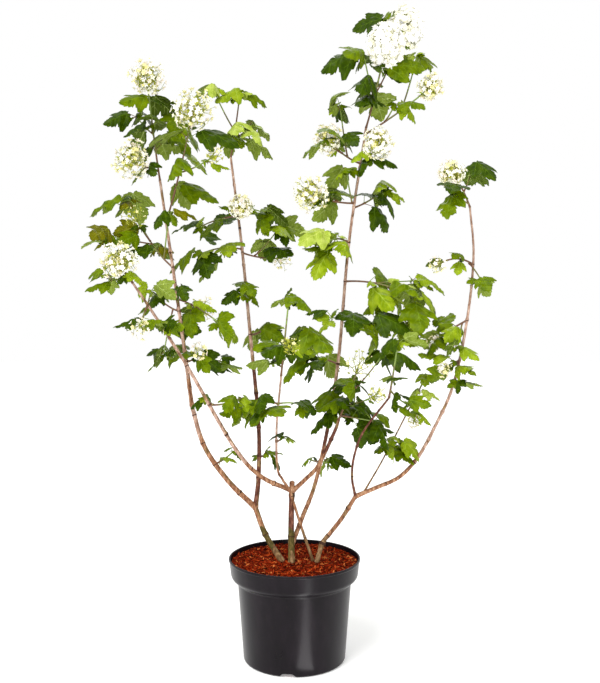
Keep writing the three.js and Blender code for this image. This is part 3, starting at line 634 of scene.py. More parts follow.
def make_mulch_bed():
    """The body of the medium: a lumpy top over a plug that fills the pot."""
    foot = POT_FLOOR + MULCH_CLEAR
    walls = [(pot_radius(z) - POT_WALL - MULCH_CLEAR, z) for z in (foot, BODY_TOP, COLLAR_FOOT)]
    radii = np.linspace(MULCH_EYE, pot_radius(GROUND_EDGE) - POT_WALL - MULCH_CLEAR, MULCH_RINGS)
    top = circle(radii[::-1, None], 0, MULCH_SIDES)
    top[..., 2] = mulch_height(top[..., 0], top[..., 1])
    rings = np.concatenate([[circle(radius, z, MULCH_SIDES) for radius, z in walls], top])
    bed = Piece("mulch_bed", "growing_medium", SOIL)
    add_rings(bed, rings, [(0, 0, foot), (0, 0, mulch_height(np.zeros(1), np.zeros(1))[0])])
    bed.make("growing_medium")


def add_chip(piece, kind, centre, along, flat, size, random):
    """A splinter of bark: uneven four-cornered sections between two blunt ends."""
    length, width, thickness = size
    side = np.cross(flat, along)
    corners = []
    for share, girth in CHIP_SECTIONS:
        middle = centre + along * share * length + side * random.normal(0, width * CHIP_BEND)
        for across, up in ((1, 1), (-1, 1), (-1, -1), (1, -1)):
            reach = girth * random.uniform(*CHIP_UNEVEN)
            corners.append(middle + side * across * width / 2 * reach + flat * up * thickness / 2 * reach)
    piece.add(corners, prism_faces(len(CHIP_SECTIONS), 4), kind)


def make_mulch_chips():
    random = np.random.default_rng(CHIP_SEED)
    chips = Piece("mulch_chips", "growing_medium", *MULCH.values())
    room = pot_radius(GROUND) - POT_WALL - CHIP_CLEAR
    spots = np.sqrt(random.uniform(0, 1, CHIP_COUNT)) * room
    turns = random.uniform(0, 2 * math.pi, CHIP_COUNT)
    x, y = spots * np.cos(turns), spots * np.sin(turns)
    places = np.stack([x, y, mulch_height(x, y)], -1)
    kinds = random.choice(len(MULCH), CHIP_COUNT, p=CHIP_SHARES)
    for place, kind in zip(places, kinds):
        length = between(CHIP_LENGTH, random.uniform() ** CHIP_SHORTNESS)
        width = length * random.uniform(*CHIP_WIDTH)
        heading = random.uniform(0, 2 * math.pi)
        tilt = random.normal(0, CHIP_TILT)
        level = math.cos(tilt)
        along = np.array((math.cos(heading) * level, math.sin(heading) * level, math.sin(tilt)))
        flat = unit(np.array((random.normal(0, CHIP_TILT), random.normal(0, CHIP_TILT), 1.0)))
        flat = unit(flat - along * dot(flat, along))
        centre = place + UP * random.uniform(*CHIP_LIFT)
        ends = centre + along * length / 2, centre - along * length / 2
        if max(np.hypot(*end[:2]) for end in ends) < room - width / 2:
            size = length, width, between(CHIP_THICKNESS, random.uniform())
            add_chip(chips, kind, centre, along, flat, size, random)
    chips.make(sharp=CHIP_CREASE)


# ---------------------------------------------------------------- limbs and twigs, as in the solids

ROOT_FLARE = 0.8
ROOT_FLARE_HEIGHT = 11
TWIG_PIECE = 52  # length of the straight pieces that the solids' twigs are made of
TWIG_RADIUS = 2.1
TWIG_TIP_RADIUS = 1.6
SIDE_TWIG_SCALE = 0.85
TWIG_ARCH = 0.1  # rise of the arch, as a share of its span
SIDEWAYS = 0.8  # a path runs sideways if its direction's x is over this
TIP = math.inf  # the height that stands for a limb's own end


class Path:
    """A curve with a point and a direction at each share from 0 to 1."""

    def tangent(self, share):
        low, high = max(share - 0.0001, 0), min(share + 0.0001, 1)
        return unit(self.point(high) - self.point(low))

    def side(self):
        """The side that turns are measured from: the right, or the back for a path that runs sideways."""
        chord = unit(self.point(1) - self.point(0))
        return np.array((1.0, 0, 0)) if abs(chord[0]) < SIDEWAYS else np.array((0, 1.0, 0))


class LimbPath(Path):
    """A Catmull-Rom curve through a limb's stations."""

    def __init__(self, stations):
        points = np.array(stations, float)
        first = 2 * points[0] - points[1]
        last = 2 * points[-1] - points[-2]
        self.points = np.concatenate([[first], points, [last]])
        self.spans = len(points) - 1

    def point(self, share):
        whole = min(int(share * self.spans), self.spans - 1)
        s = share * self.spans - whole
        before, start, end, after = self.points[whole:whole + 4]
        leave, arrive = (end - before) / 2, (after - start) / 2
        cubic = 2 * start - 2 * end + leave + arrive
        square = -3 * start + 3 * end - 2 * leave - arrive
        return start + leave * s + square * s * s + cubic * s * s * s

    def share_at_height(self, height):
        if height == TIP:
            return 1
        low, high = 0, 1
        for _ in range(40):
            middle = (low + high) / 2
            if self.point(middle)[2] < height:
                low = middle
            else:
                high = middle
        return low


class TwigPath(Path):
    """A twig's arch from its start to its tip."""

    def __init__(self, start, end, arch):
        span = np.linalg.norm(end - start)
        self.controls = start, (start + end) / 2 - UP * arch * span, end
        self.pieces = math.ceil(span / TWIG_PIECE)

    def point(self, share):
        start, bend, end = self.controls
        rest = 1 - share
        return rest * rest * start + 2 * rest * share * bend + share * share * end

    def point_on_pieces(self, share):
        """The point on the straight pieces that the solids are made of."""
        whole = min(math.floor(share * self.pieces), self.pieces - 1)
        ends = self.point(whole / self.pieces), self.point((whole + 1) / self.pieces)
        return between(ends, share * self.pieces - whole)


def limb(parent, radii, *stations):
    """A limb from its parent, or from the ground, through its stations. It tapers between two radii."""
    return SimpleNamespace(parent=parent, radii=radii, path=LimbPath(stations))


LIMBS = {
    "left_stem": limb(None, (6.2, 5.6), (-26, -15, GROUND), (-62, 4, 265), (-86, 18, 325)),
    "left_bough_lower": limb(
        "left_stem", (6, 4.5), (-83, 18, 319), (-142, 16, 378), (-193, 14, 454), (-220, 17, 542),
    ),
    "left_bough_upper": limb(
        "left_bough_lower", (4.5, 2.7), (-219, 17, 539), (-238, 24, 681), (-260, 32, 835), (-287, 40, 1020),
    ),
    "left_upright": limb(
        "left_stem", (5.5, 2.6), (-84, 18, 320), (-78, 40, 386), (-80, 75, 501), (-101, 125, 698),
        (-120, 155, 883), (-146, 175, 1090),
    ),
    "centre_stem": limb(None, (7, 5.6), (-6, -22, GROUND), (-7, -8, 290), (-5, 0, 380)),
    "centre_left_bough": limb(
        "centre_stem", (5.1, 2.2), (-7, 0, 361), (-72, -22, 397), (-126, -45, 464), (-211, -90, 626),
        (-275, -115, 735), (-315, -134, 800),
    ),
    "centre_right_bough": limb(
        "centre_stem", (4.9, 3.1), (-3, 0, 361), (24, -6, 387), (51, -12, 418), (83, -32, 490),
        (92, -47, 520),
    ),
    "tall_stem": limb(
        "centre_stem", (5.2, 2.6), (-6, -13, 247), (15, 14, 295), (51, 40, 391), (92, 58, 607),
        (118, 66, 889), (154, 62, 1136),
    ),
    "crossing_shoot": limb(
        None, (3.1, 2), (39, -9, GROUND), (12, -20, 296), (-9, -26, 363), (-24, -36, 391), (-35, -48, 420),
        (-36, -68, 505), (-26, -100, 615),
    ),
    "right_stem": limb(
        None, (4.8, 4.4), (47, -21, GROUND), (60, -8, 250), (77, -3, 271), (102, -4, 304), (131, -8, 353),
    ),
    "right_bough_lower": limb(
        "right_stem", (4.7, 3.6), (129, -8, 350), (171, -4, 367), (221, 2, 388), (258, 6, 424),
        (287, 14, 468),
    ),
    "right_bough_upper": limb(
        "right_bough_lower", (3.6, 2.1), (286, 14, 466), (339, 26, 579), (371, 38, 723), (385, 46, 860),
        (377, 50, 965),
    ),
    "right_inner_bough": limb(
        "right_stem", (2.8, 2), (129, -8, 350), (121, -27, 395), (124, -50, 444), (142, -74, 500),
        (190, -103, 571),
    ),
    "right_slender_shoot": limb(
        "right_bough_lower", (1.9, 1.5), (147, -6, 358), (195, 25, 432), (265, 78, 550),
    ),
}


def limb_radius(name, share, height):
    """The smooth radius of a limb, which flares at the ground."""
    flare = 0 if LIMBS[name].parent else ROOT_FLARE * math.exp(-(height - GROUND) / ROOT_FLARE_HEIGHT)
    return between(LIMBS[name].radii, share) + max(flare, 0)


def twig(to, pairs, leaf, at=0, roll=0, arch=TWIG_ARCH, **head):
    """A twig to a tip, with pairs of leaves about `leaf` long. It leaves the mass's stem at share `at`, and
    `roll` turns its first pair. If a head of blossom ends it, that comes as its style and its width."""
    kind, across = [*head.items(), (None, 0)][0]
    return SimpleNamespace(
        to=np.array(to, float), pairs=pairs, leaf=leaf, at=at, roll=roll, arch=arch, kind=kind, across=across,
    )


# The masses on each limb: the height of the mass's node, its stem, and the twigs that fork from that.
MASSES = {
    "left_bough_upper": {
        "left_crown": (TIP, [
            twig((-314, 45, 1238), 3, 78, roll=140, lace=72),
            twig((-342, 5, 1060), 1, 62, at=0.12, lace=76),
            twig((-340, 66, 1160), 2, 74, at=0.5, roll=240),
            twig((-252, 80, 1140), 2, 76, at=0.42, roll=30),
        ]),
        "left_arch": (932, [
            twig((-209, -15, 1158), 3, 90, roll=10, lace=84),
            twig((-164, -35, 1062), 1, 50, at=0.5, roll=70, young=40),
        ]),
        "left_outer_spray": (836, [
            twig((-361, 70, 985), 3, 80, roll=300, arch=0.2),
            twig((-338, 15, 944), 0, 62, at=0.5, young=54),
            twig((-392, 20, 900), 2, 68, at=0.45, roll=230, arch=0),
            twig((-262, -12, 946), 1, 58, at=0.2, roll=140),
        ]),
        "left_inner_spray": (768, [
            twig((-160, -15, 720), 2, 66, roll=110, arch=-0.1),
            twig((-199, 60, 748), 1, 52, at=0.35, roll=90, pale=54),
        ]),
        "left_outer_leaves": (742, [
            twig((-296, 78, 768), 1, 62, roll=40),
            twig((-284, 55, 650), 2, 58, at=0.3, roll=160, arch=-0.1),
            twig((-243, 2, 790), 1, 48, at=0.1, roll=60),
        ]),
        "left_low_spray": (634, [
            twig((-158, 50, 632), 2, 58, roll=65, arch=-0.15),
            twig((-201, -20, 658), 1, 56, at=0.2, pale=38),
            twig((-268, 66, 652), 1, 62, at=0.1, roll=20),
        ]),
    },
    "left_bough_lower": {
        "left_foot_twig": (415, [twig((-134, 45, 436), 2, 36, roll=30)]),
    },
    "left_upright": {
        "upright_crown": (TIP, [
            twig((-125, 182, 1236), 2, 72, roll=60),
            twig((-106, 158, 1149), 2, 90, at=0.35, roll=240),
            twig((-184, 150, 1241), 1, 56, at=0.45, roll=60),
        ]),
        "upright_high_right": (975, [
            twig((-119, 110, 972), 1, 58, lace=48),
            twig((-72, 135, 962), 2, 64, at=0.3, roll=20, arch=-0.1),
        ]),
        "upright_high_left": (955, [twig((-217, 215, 937), 2, 70, roll=30, arch=-0.1)]),
        "upright_mid_left": (880, [twig((-205, 100, 868), 2, 80, roll=105, arch=-0.15)]),
        "upright_mid_right": (872, [
            twig((-30, 205, 862), 0, 62, pale=54),
            twig((-38, 145, 925), 2, 86, at=0.3, roll=200),
        ]),
        "upright_low": (806, [twig((-116, 95, 788), 2, 50, roll=45)]),
        "upright_lower": (687, [twig((-60, 162, 702), 2, 64, roll=20)]),
        "upright_foot": (512, [twig((-110, 58, 532), 2, 58, roll=30)]),
        "upright_base": (425, [twig((-58, 88, 424), 2, 40, roll=35)]),
    },
    "centre_left_bough": {
        "centre_left_crown": (TIP, [
            twig((-341, -145, 843), 1, 66, roll=20, lace=70),
            twig((-362, -120, 812), 1, 60, at=0.2, roll=70, arch=-0.2),
        ]),
        "centre_left_spray": (757, [
            twig((-297, -165, 712), 1, 46, arch=-0.1, pale=40),
            twig((-288, -88, 785), 1, 52, at=0.1, roll=30),
        ]),
        "centre_left_leaves": (690, [twig((-252, -148, 712), 1, 46, roll=20)]),
        "centre_left_low": (553, [
            twig((-114, -112, 568), 1, 50, roll=30),
            twig((-184, -52, 563), 1, 38, at=0.15, roll=20),
        ]),
    },
    "crossing_shoot": {
        "crossing_crown": (TIP, [
            twig((-10, -120, 770), 2, 64, roll=160, arch=0),
            twig((-6, -152, 678), 1, 56, at=0.3, young=42),
            twig((16, -92, 696), 1, 84, at=0.35, roll=50),
            twig((-40, -82, 642), 1, 46, at=0.12, roll=20),
        ]),
        "crossing_leaves": (556, [
            twig((-60, -122, 562), 1, 74, roll=30, arch=-0.1),
            twig((12, -108, 559), 1, 50, at=0.1, roll=20, arch=-0.1),
        ]),
        "crossing_foot": (476, [twig((-21, -88, 490), 1, 36, roll=30)]),
    },
    "tall_stem": {
        "top_crown": (TIP, [
            twig((193, 30, 1302), 2, 84, roll=100, snowball=78),
            twig((239, 85, 1355), 0, 70, at=0.45, snowball=80),
            twig((150, 62, 1285), 2, 82, at=0.4, roll=280),
            twig((206, 125, 1379), 1, 72, at=0.6, roll=180),
        ]),
        "top_right": (1122, [
            twig((290, 40, 1218), 0, 60, arch=0.05, lace=50),
            twig((265, 84, 1292), 1, 80, at=0.55, roll=310),
            twig((212, 20, 1178), 1, 74, at=0.3, roll=60),
        ]),
        "high_left": (1060, [
            twig((73, 90, 1115), 0, 60, arch=0.15, lace=60),
            twig((100, 108, 1190), 2, 72, at=0.4, roll=30),
            twig((66, 55, 1106), 1, 66, at=0.55, roll=140),
        ]),
        "high_right": (1050, [twig((176, 8, 1094), 2, 60, roll=120, lace=62)]),
        "upper_left": (975, [
            twig((33, 30, 991), 1, 62, roll=40, lace=72),
            twig((80, 60, 988), 2, 76, at=0.35, roll=260),
            twig((111, 40, 1040), 1, 60, at=0.05, roll=225),
        ]),
        "upper_right": (965, [twig((195, 80, 1005), 3, 64, roll=250)]),
        "hanging_left": (890, [twig((74, 26, 892), 3, 80, roll=220, arch=-0.2)]),
        "mid_right": (806, [
            twig((261, 42, 770), 3, 84, roll=320, arch=-0.15),
            twig((262, 112, 808), 2, 84, at=0.4, roll=120, arch=0),
            twig((246, 78, 712), 2, 80, at=0.6, roll=10, arch=-0.2),
        ]),
        "mid_leaves": (726, [
            twig((168, 14, 716), 2, 80, roll=30, arch=-0.1),
            twig((78, 20, 730), 1, 58, at=0.12, roll=50),
        ]),
        "low_left": (626, [twig((32, 96, 640), 3, 74, roll=25, arch=-0.1)]),
        "low_leaves": (560, [
            twig((91, -5, 532), 2, 76, roll=75, arch=-0.1),
            twig((112, 16, 588), 1, 60, at=0.3, roll=120),
            twig((118, -24, 528), 1, 64, at=0.5, roll=20, arch=-0.1),
        ]),
        "tall_foot": (416, [
            twig((36, 80, 412), 1, 28, roll=20),
            twig((69, 66, 410), 1, 50, at=0.2, roll=30),
        ]),
    },
    "centre_right_bough": {
        "centre_right_crown": (TIP, [
            twig((132, -72, 636), 2, 74, roll=15, arch=0.08, young=70),
            twig((166, -108, 578), 2, 66, at=0.3, roll=30, young=42),
            twig((166, -48, 516), 2, 78, at=0.08, roll=40, arch=0),
            twig((186, -22, 655), 1, 84, at=0.5, roll=210),
        ]),
    },
    "right_inner_bough": {
        "right_inner_crown": (TIP, [
            twig((206, -112, 684), 2, 52, roll=70),
            twig((222, -134, 562), 2, 50, at=0.15, roll=40),
        ]),
    },
    "right_slender_shoot": {
        "slender_crown": (TIP, [
            twig((290, 112, 590), 2, 46, roll=30),
            twig((262, 58, 500), 1, 44, at=0.1, arch=-0.3, pale=30),
        ]),
        "slender_leaves": (442, [twig((215, 2, 462), 3, 52, roll=20, arch=0)]),
    },
    "right_bough_upper": {
        "right_crown": (TIP, [
            twig((333, 30, 1032), 0, 78, arch=-0.25, lace=56),
            twig((385, 72, 1047), 1, 86, at=0.35, roll=260),
            twig((336, 0, 990), 1, 84, at=0.1, roll=270),
        ]),
        "right_high": (842, [
            twig((301, 8, 838), 2, 44, roll=60, arch=-0.3, pale=38),
            twig((395, 12, 808), 1, 56, at=0.12, roll=260, arch=-0.1),
        ]),
        "right_mid": (722, [
            twig((306, 60, 672), 2, 64, roll=110, arch=-0.1, pale=36),
            twig((344, -6, 664), 2, 50, at=0.15, roll=60, arch=-0.1),
        ]),
        "right_low": (636, [
            twig((316, -2, 620), 2, 64, roll=30, arch=-0.1, pale=32),
            twig((350, 2, 594), 2, 46, at=0.15, roll=110, arch=-0.1),
        ]),
    },
}


def grow_twigs():
    """Every twig with its path, and its head of blossom if it has one."""
    twigs = []
    for limb_name, masses in MASSES.items():
        path = LIMBS[limb_name].path
        for mass, (height, rows) in masses.items():
            stem = None
            for order, row in enumerate(rows):
                start = stem.point_on_pieces(row.at) if stem else path.point(path.share_at_height(height))
                row.path = TwigPath(start, row.to, row.arch)
                stem = stem or row.path
                scale = SIDE_TWIG_SCALE if order else 1
                row.mass, row.order = mass, order
                row.span = np.linalg.norm(row.to - start)
                row.radii = TWIG_RADIUS * scale, TWIG_TIP_RADIUS * scale
                twigs.append(row)
    return twigs


# ---------------------------------------------------------------- where leaves grow, as in the solids

# The blade that clearances are tested on: shares of its length along, across and out of its plane.
PLAIN_BLADE = np.array([
    (0, 0, 0),
    (0.33, 0.48, -0.06),
    (0.55, 0.22, 0),
    (1, 0, -0.1),
    (0.55, -0.22, 0),
    (0.33, -0.48, -0.06),
])
SMALL_PLAIN_BLADE = PLAIN_BLADE[[0, 1, 3, 5]]
SMALL_BLADE = 56  # a shorter leaf is tested as the small blade
BLADE_CENTRE = (0.4, 0, 0.05)
BLADE_THICKNESS = 0.022  # as a share of its length
LEAF_SIZE = (0.8, 1.12)  # as a share of its twig's own
PETIOLE_LENGTH = (0.22, 0.36)  # as a share of the leaf's
PETIOLE_LEAN = (0.8, 0.45, 0.2)  # outwards, along the twig and up
STALK_RADIUS = 0.9
DROOP = (-6, 46)  # degrees under the level
LIGHT = np.array((0, -0.42, 0.9))
STEEP = 0.3  # a stalk whose level part is shorter than this turns to the light
LIGHT_PULL = 0.6
FACE_SCATTER = 1.5
LEAF_TRIES = 6
LEAF_TURN = 41  # degrees, from one try to the next
LEAF_SHRINK = 0.93
LEAF_MARGIN = 1.6
LEAF_MARGIN_SCALE = 1.05
LEAF_REACH = 0.8  # how far a leaf reaches from its middle at most, as a share of its length
HEAD_ROOM = 1.2  # what a head of blossom keeps clear, as a share of its radius
OWN_HEAD_ROOM = 0.85
GAP = 0.3  # between a leaf's stalk and other limbs and twigs
WIRES_PER_LIMB = 14
PAIR_TURN = 90
TURN_SCATTER = 30
FIRST_PAIR = 0.34  # shares along a twig
FIRST_PAIR_SHARE = 0.55  # of the last pair's place, at most
LAST_PAIR = 0.97
LAST_PAIR_UNDER_HEAD = (0.3, 0.9)  # least and greatest
PAIR_BELOW_HEAD = 0.62  # how far under a head, as a share of its width


def cross_axes(tangent, side):
    """Two directions square to a tangent, the first of them towards a side."""
    first = unit(side - tangent * dot(side, tangent))
    return first, np.cross(first, tangent)


def make_leaf(twig, share, turn, length, keys):
    """A leaf on its stalk, which leaves the twig at a share and a turn."""
    tangent = twig.path.tangent(share)
    first, second = cross_axes(tangent, twig.path.side())
    out = first * math.cos(turn) + second * math.sin(turn)
    stalk = unit(out * PETIOLE_LEAN[0] + tangent * PETIOLE_LEAN[1] + UP * PETIOLE_LEAN[2])
    petiole = length * between(PETIOLE_LENGTH, chance(*keys, 1))
    root = twig.path.point_on_pieces(share)
    base = root + stalk * petiole
    level = np.array((stalk[0], stalk[1], 0))
    if np.linalg.norm(level) < STEEP:
        level = (level + LIGHT * LIGHT_PULL) * (1, 1, 0)
    droop = math.radians(between(DROOP, chance(*keys, 2)))
    along = unit(level) * math.cos(droop) - UP * math.sin(droop)
    face = LIGHT + scatter(keys, 3, 4, 5) * FACE_SCATTER
    normal = unit(face - along * dot(face, along))
    leaf = SimpleNamespace(
        twig=twig, mass=twig.mass, keys=keys, share=share, root=root, base=base, petiole=petiole, stalk=stalk,
        length=length, along=along, across=np.cross(along, normal), normal=normal,
    )
    add_test_faces(leaf)
    return leaf


def blade_points(leaf, shares, scale=1):
    """Places in shares of a leaf's length along, across and out of its blade, as points."""
    shares = np.atleast_2d(shares)
    forward = BLADE_CENTRE[0] + (shares[:, 0] - BLADE_CENTRE[0]) * scale
    local = np.stack([forward, shares[:, 1] * scale, shares[:, 2]], -1) * leaf.length
    return leaf.base + local @ np.array([leaf.along, leaf.across, leaf.normal])


def add_test_faces(leaf):
    """Faces and edges a little larger than the blade, which clearances are tested on."""
    outline = SMALL_PLAIN_BLADE if leaf.length < SMALL_BLADE else PLAIN_BLADE
    rim = blade_points(leaf, outline, LEAF_MARGIN_SCALE)
    after = np.roll(rim, -1, axis=0)
    leaf.middle = blade_points(leaf, BLADE_CENTRE)[0]
    lift = leaf.normal * (leaf.length * BLADE_THICKNESS / 2 + LEAF_MARGIN)
    hubs = [np.broadcast_to(leaf.middle + lift * side, rim.shape) for side in (1, -1)]
    leaf.faces = np.concatenate([np.stack([hub, rim, after], 1) for hub in hubs])
    leaf.edges = np.concatenate([
        np.stack([rim, after], 1),
        np.stack([np.broadcast_to(leaf.middle, rim.shape), rim], 1),
    ])


def pierces(segments, faces):
    """Whether any of the segments passes through any of the triangles."""
    start, end = segments[:, None, 0], segments[:, None, 1]
    a, b, c = faces[None, :, 0], faces[None, :, 1], faces[None, :, 2]
    along, ab, ac = end - start, b - a, c - a
    h = np.cross(along, ac)
    scale = dot(ab, h)
    flat = abs(scale) < 1e-9
    scale = np.where(flat, 1, scale)
    s = start - a
    u = dot(s, h) / scale
    k = np.cross(s, ab)
    v = dot(along, k) / scale
    t = dot(ac, k) / scale
    return bool(np.any(~flat & (u >= 0) & (u <= 1) & (v >= 0) & (u + v <= 1) & (t >= 0) & (t <= 1)))


def segment_gaps(one, other):
    """The least distances between each segment of one list and each of the other."""
    start, other_start = one[:, None, 0], other[None, :, 0]
    along, other_along, offset = one[:, None, 1] - start, other[None, :, 1] - other_start, start - other_start
    square, other_square, turn = dot(along, along), dot(other_along, other_along), dot(along, other_along)
    lead, other_lead = dot(along, offset), dot(other_along, offset)
    scale = square * other_square - turn * turn
    crossed = scale > 1e-9
    share = (turn * other_lead - lead * other_square) / np.where(crossed, scale, 1)
    share = np.where(crossed, np.clip(share, 0, 1), 0)
    other_share = np.clip((turn * share + other_lead) / other_square, 0, 1)
    share = np.clip((turn * other_share - lead) / square, 0, 1)
    return np.linalg.norm(offset + along * share[..., None] - other_along * other_share[..., None], axis=-1)


class Crowd:
    """What stands in a new leaf's way: limbs, twigs, heads of blossom and the leaves so far."""

    def __init__(self, twigs):
        wires, radii, owners = [], [], []
        for name in LIMBS:
            path = LIMBS[name].path
            for i in range(WIRES_PER_LIMB):
                start, end = path.point(i / WIRES_PER_LIMB), path.point((i + 1) / WIRES_PER_LIMB)
                wires.append((start, end))
                radii.append(limb_radius(name, i / WIRES_PER_LIMB, start[2]))
                owners.append(name)
        for twig in twigs:
            for i in range(twig.path.pieces):
                wires.append([twig.path.point((i + step) / twig.path.pieces) for step in (0, 1)])
                radii.append(twig.radii[0])
                owners.append(twig.mass)
        self.wires = np.array(wires)
        self.radii = np.array(radii)
        self.owners = np.array(owners)
        self.lengths = np.linalg.norm(self.wires[:, 1] - self.wires[:, 0], axis=1)
        self.heads = [(twig.to, twig.across / 2, twig.mass) for twig in twigs if twig.kind]
        self.leaves = []

    def meets_wires(self, leaf):
        near = np.linalg.norm(self.wires[:, 0] - leaf.root, axis=1)
        near = near <= leaf.length + leaf.petiole + self.radii + self.lengths
        own = self.owners == leaf.mass
        wires, radii = self.wires[near], self.radii[near]
        margin = np.where(own[near], 0, LEAF_MARGIN)
        if len(wires) == 0:
            return False
        if np.any(segment_gaps(leaf.edges, wires) < radii + margin) or pierces(wires, leaf.faces):
            return True
        stalk = np.array([(leaf.root, leaf.base)])
        others = ~own
        return bool(np.any(segment_gaps(stalk, self.wires[others]) < self.radii[others] + STALK_RADIUS + GAP))

    def meets_heads(self, leaf):
        probes = np.concatenate([leaf.edges[:, 0], leaf.edges[:, 1], leaf.edges.mean(1)])
        for centre, radius, mass in self.heads:
            room = radius * (OWN_HEAD_ROOM if mass == leaf.mass else HEAD_ROOM)
            if np.linalg.norm(leaf.middle - centre) > leaf.length + room:
                continue
            if np.any(np.linalg.norm(probes - centre, axis=1) < room):
                return True
        return False

    def meets_leaves(self, leaf):
        own = np.concatenate([leaf.edges, [(leaf.root, leaf.base)]])
        for other in self.leaves:
            reach = (leaf.length + other.length) * LEAF_REACH + other.petiole
            if np.linalg.norm(leaf.middle - other.middle) > reach:
                continue
            theirs = np.concatenate([other.edges, [(other.root, other.base)]])
            if pierces(own, other.faces) or pierces(theirs, leaf.faces):
                return True
        return False

    def has_room(self, leaf):
        return not (self.meets_wires(leaf) or self.meets_heads(leaf) or self.meets_leaves(leaf))


def grow_leaf(crowd, twig, share, size, roll, keys):
    """One leaf, turned and drawn in a few times if it is in the way, or none."""
    for attempt in range(LEAF_TRIES):
        turn = math.radians(roll + (chance(*keys, 6) - 0.5) * TURN_SCATTER + attempt * LEAF_TURN)
        leaf = make_leaf(twig, share, turn, size * LEAF_SHRINK ** attempt, (*keys, attempt))
        if crowd.has_room(leaf):
            crowd.leaves.append(leaf)
            return leaf
    return None


def grow_leaves(twigs, crowd):
    """Leaves in opposite pairs along every twig."""
    for twig in twigs:
        last = LAST_PAIR
        if twig.kind:
            least, most = LAST_PAIR_UNDER_HEAD
            last = min(max(1 - PAIR_BELOW_HEAD * twig.across / twig.span, least), most)
        first = min(FIRST_PAIR, last * FIRST_PAIR_SHARE)
        twig.pair_shares = []
        for pair in range(twig.pairs):
            step = pair / (twig.pairs - 1) if twig.pairs > 1 else 1
            share = between((first, last), step)
            twig.pair_shares.append(share)
            for side in (0, 1):
                keys = (seed_of(twig.mass), twig.order, pair, side)
                size = twig.leaf * between(LEAF_SIZE, chance(*keys, 0))
                grow_leaf(crowd, twig, share, size, twig.roll + pair * PAIR_TURN + side * 180, keys)


# Leaves too small for the solids: their length as a share of their twig's leaves', and where they grow.
AXIL_SIZE = (0.24, 0.5)
AXIL_TURN = 50  # degrees from the pair above it
AXIL_SHARE = 0.62  # how many axils bear one
TIP_LEAVES = [(0.93, 0.58, 40), (1, 0.34, 130)]  # share along the twig, size and turn
BRACT_SIZE = 0.34
BRACT_TURN = 20
BRACT_BELOW_HEAD = 0.5  # as a share of the head's width
BRACT_LEAST = 0.2  # share along the twig
FINE_KEY = 80


def grow_fine_leaves(twigs, crowd):
    """Young leaves in the axils of the pairs, at bare shoot tips and under the heads of blossom."""
    for twig in twigs:
        spots = [(share, None, pair * PAIR_TURN + AXIL_TURN) for pair, share in enumerate(twig.pair_shares)]
        if twig.kind:
            share = max(1 - BRACT_BELOW_HEAD * twig.across / twig.span, BRACT_LEAST)
            spots.append((share, BRACT_SIZE, BRACT_TURN))
        else:
            spots += TIP_LEAVES
        for number, (share, size, turn) in enumerate(spots):
            for side in (0, 1):
                keys = (seed_of(twig.mass), twig.order, FINE_KEY + number, side)
                if size is None and chance(*keys, 7) > AXIL_SHARE:
                    continue
                length = twig.leaf * (size or between(AXIL_SIZE, chance(*keys, 0)))
                grow_leaf(crowd, twig, share, length, twig.roll + turn + side * 180, keys)


TWIGS = grow_twigs()
CROWD = Crowd(TWIGS)
grow_leaves(TWIGS, CROWD)
GROWN_LEAVES = len(CROWD.leaves)
grow_fine_leaves(TWIGS, CROWD)

# ---------------------------------------------------------------- barked limbs

LIMB_SIDES = 22
BARK_STEP = 2.1  # between rings
BARK_RELIEF = 0.32
BARK_STRETCH = 3.2  # how much longer the bark's grain is along a limb than round it
BARK_GRAINS = [(1, 2.6), (0.6, 1.1)]  # share of the relief, and size in mm
PATCH_SIZE = 9
TINT_WANDER = 34  # how far up or down patches move the bark's tints
GREY_PATCH = 0.42  # the noise over which bark is grey
NODE_SPACING = (52, 118)
FIRST_NODE = 0.6  # of a spacing
NODE_CLEAR = 26  # between an old node and any other
TIP_CLEAR = 12  # between the last old node and the tip
NODE_SWELL = 0.13
NODE_LENGTH = 3.6
SCAR_HEIGHT = 1.2
SCAR_LIFT = 2  # above the node
SCAR_LENGTH = 3
SCAR_WIDTH = 0.5  # radians round the limb
NODE_RING_DROP = 0.8  # under the node
NODE_RING_LENGTH = 1.8
NODE_RING_DARKNESS = (0.45, 1.2)
NODE_RING_LIMIT = 0.55  # the darkness over which bark takes the node's tint
KNOB_LENGTH = 6
KNOB_RING_LENGTH = 5
COLLAR_SWELL = 1.3
COLLAR_LENGTH = 7
BARK_NAMES = list(BARK)

# The bark's tint from each height up.
BARK_RUNS = {
    "left_stem": [(0, "grey"), (232, "moss"), (292, "tan")],
    "left_bough_lower": [(0, "tan"), (470, "pink")],
    "left_bough_upper": [(0, "tan"), (600, "pink")],
    "left_upright": [(0, "red"), (620, "pink")],
    "centre_stem": [(0, "grey"), (225, "moss"), (285, "red"), (352, "tan")],
    "centre_left_bough": [(0, "tan"), (420, "pink")],
    "centre_right_bough": [(0, "tan"), (440, "red")],
    "tall_stem": [(0, "tan"), (430, "red"), (575, "pink")],
    "crossing_shoot": [(0, "grey"), (290, "tan"), (450, "pink")],
    "right_stem": [(0, "grey"), (262, "tan")],
    "right_bough_lower": [(0, "tan"), (420, "pink")],
    "right_bough_upper": [(0, "pink")],
    "right_inner_bough": [(0, "red")],
    "right_slender_shoot": [(0, "grey")],
}
KNOBS = {"right_stem": [(248, 2.4)], "centre_stem": [(352, 1.2)]}  # swollen old nodes: height, extra radius


def resampled(path, step):
    """Shares and points along a path, a nearly even step apart, with the distance run at each."""
    fine = np.linspace(0, 1, 400)
    points = np.array([path.point(share) for share in fine])
    run = np.concatenate([[0], np.cumsum(np.linalg.norm(np.diff(points, axis=0), axis=1))])
    count = max(int(run[-1] / step), 4)
    runs = np.linspace(0, run[-1], count + 1)
    shares = np.interp(runs, run, fine)
    return shares, np.array([path.point(share) for share in shares]), runs


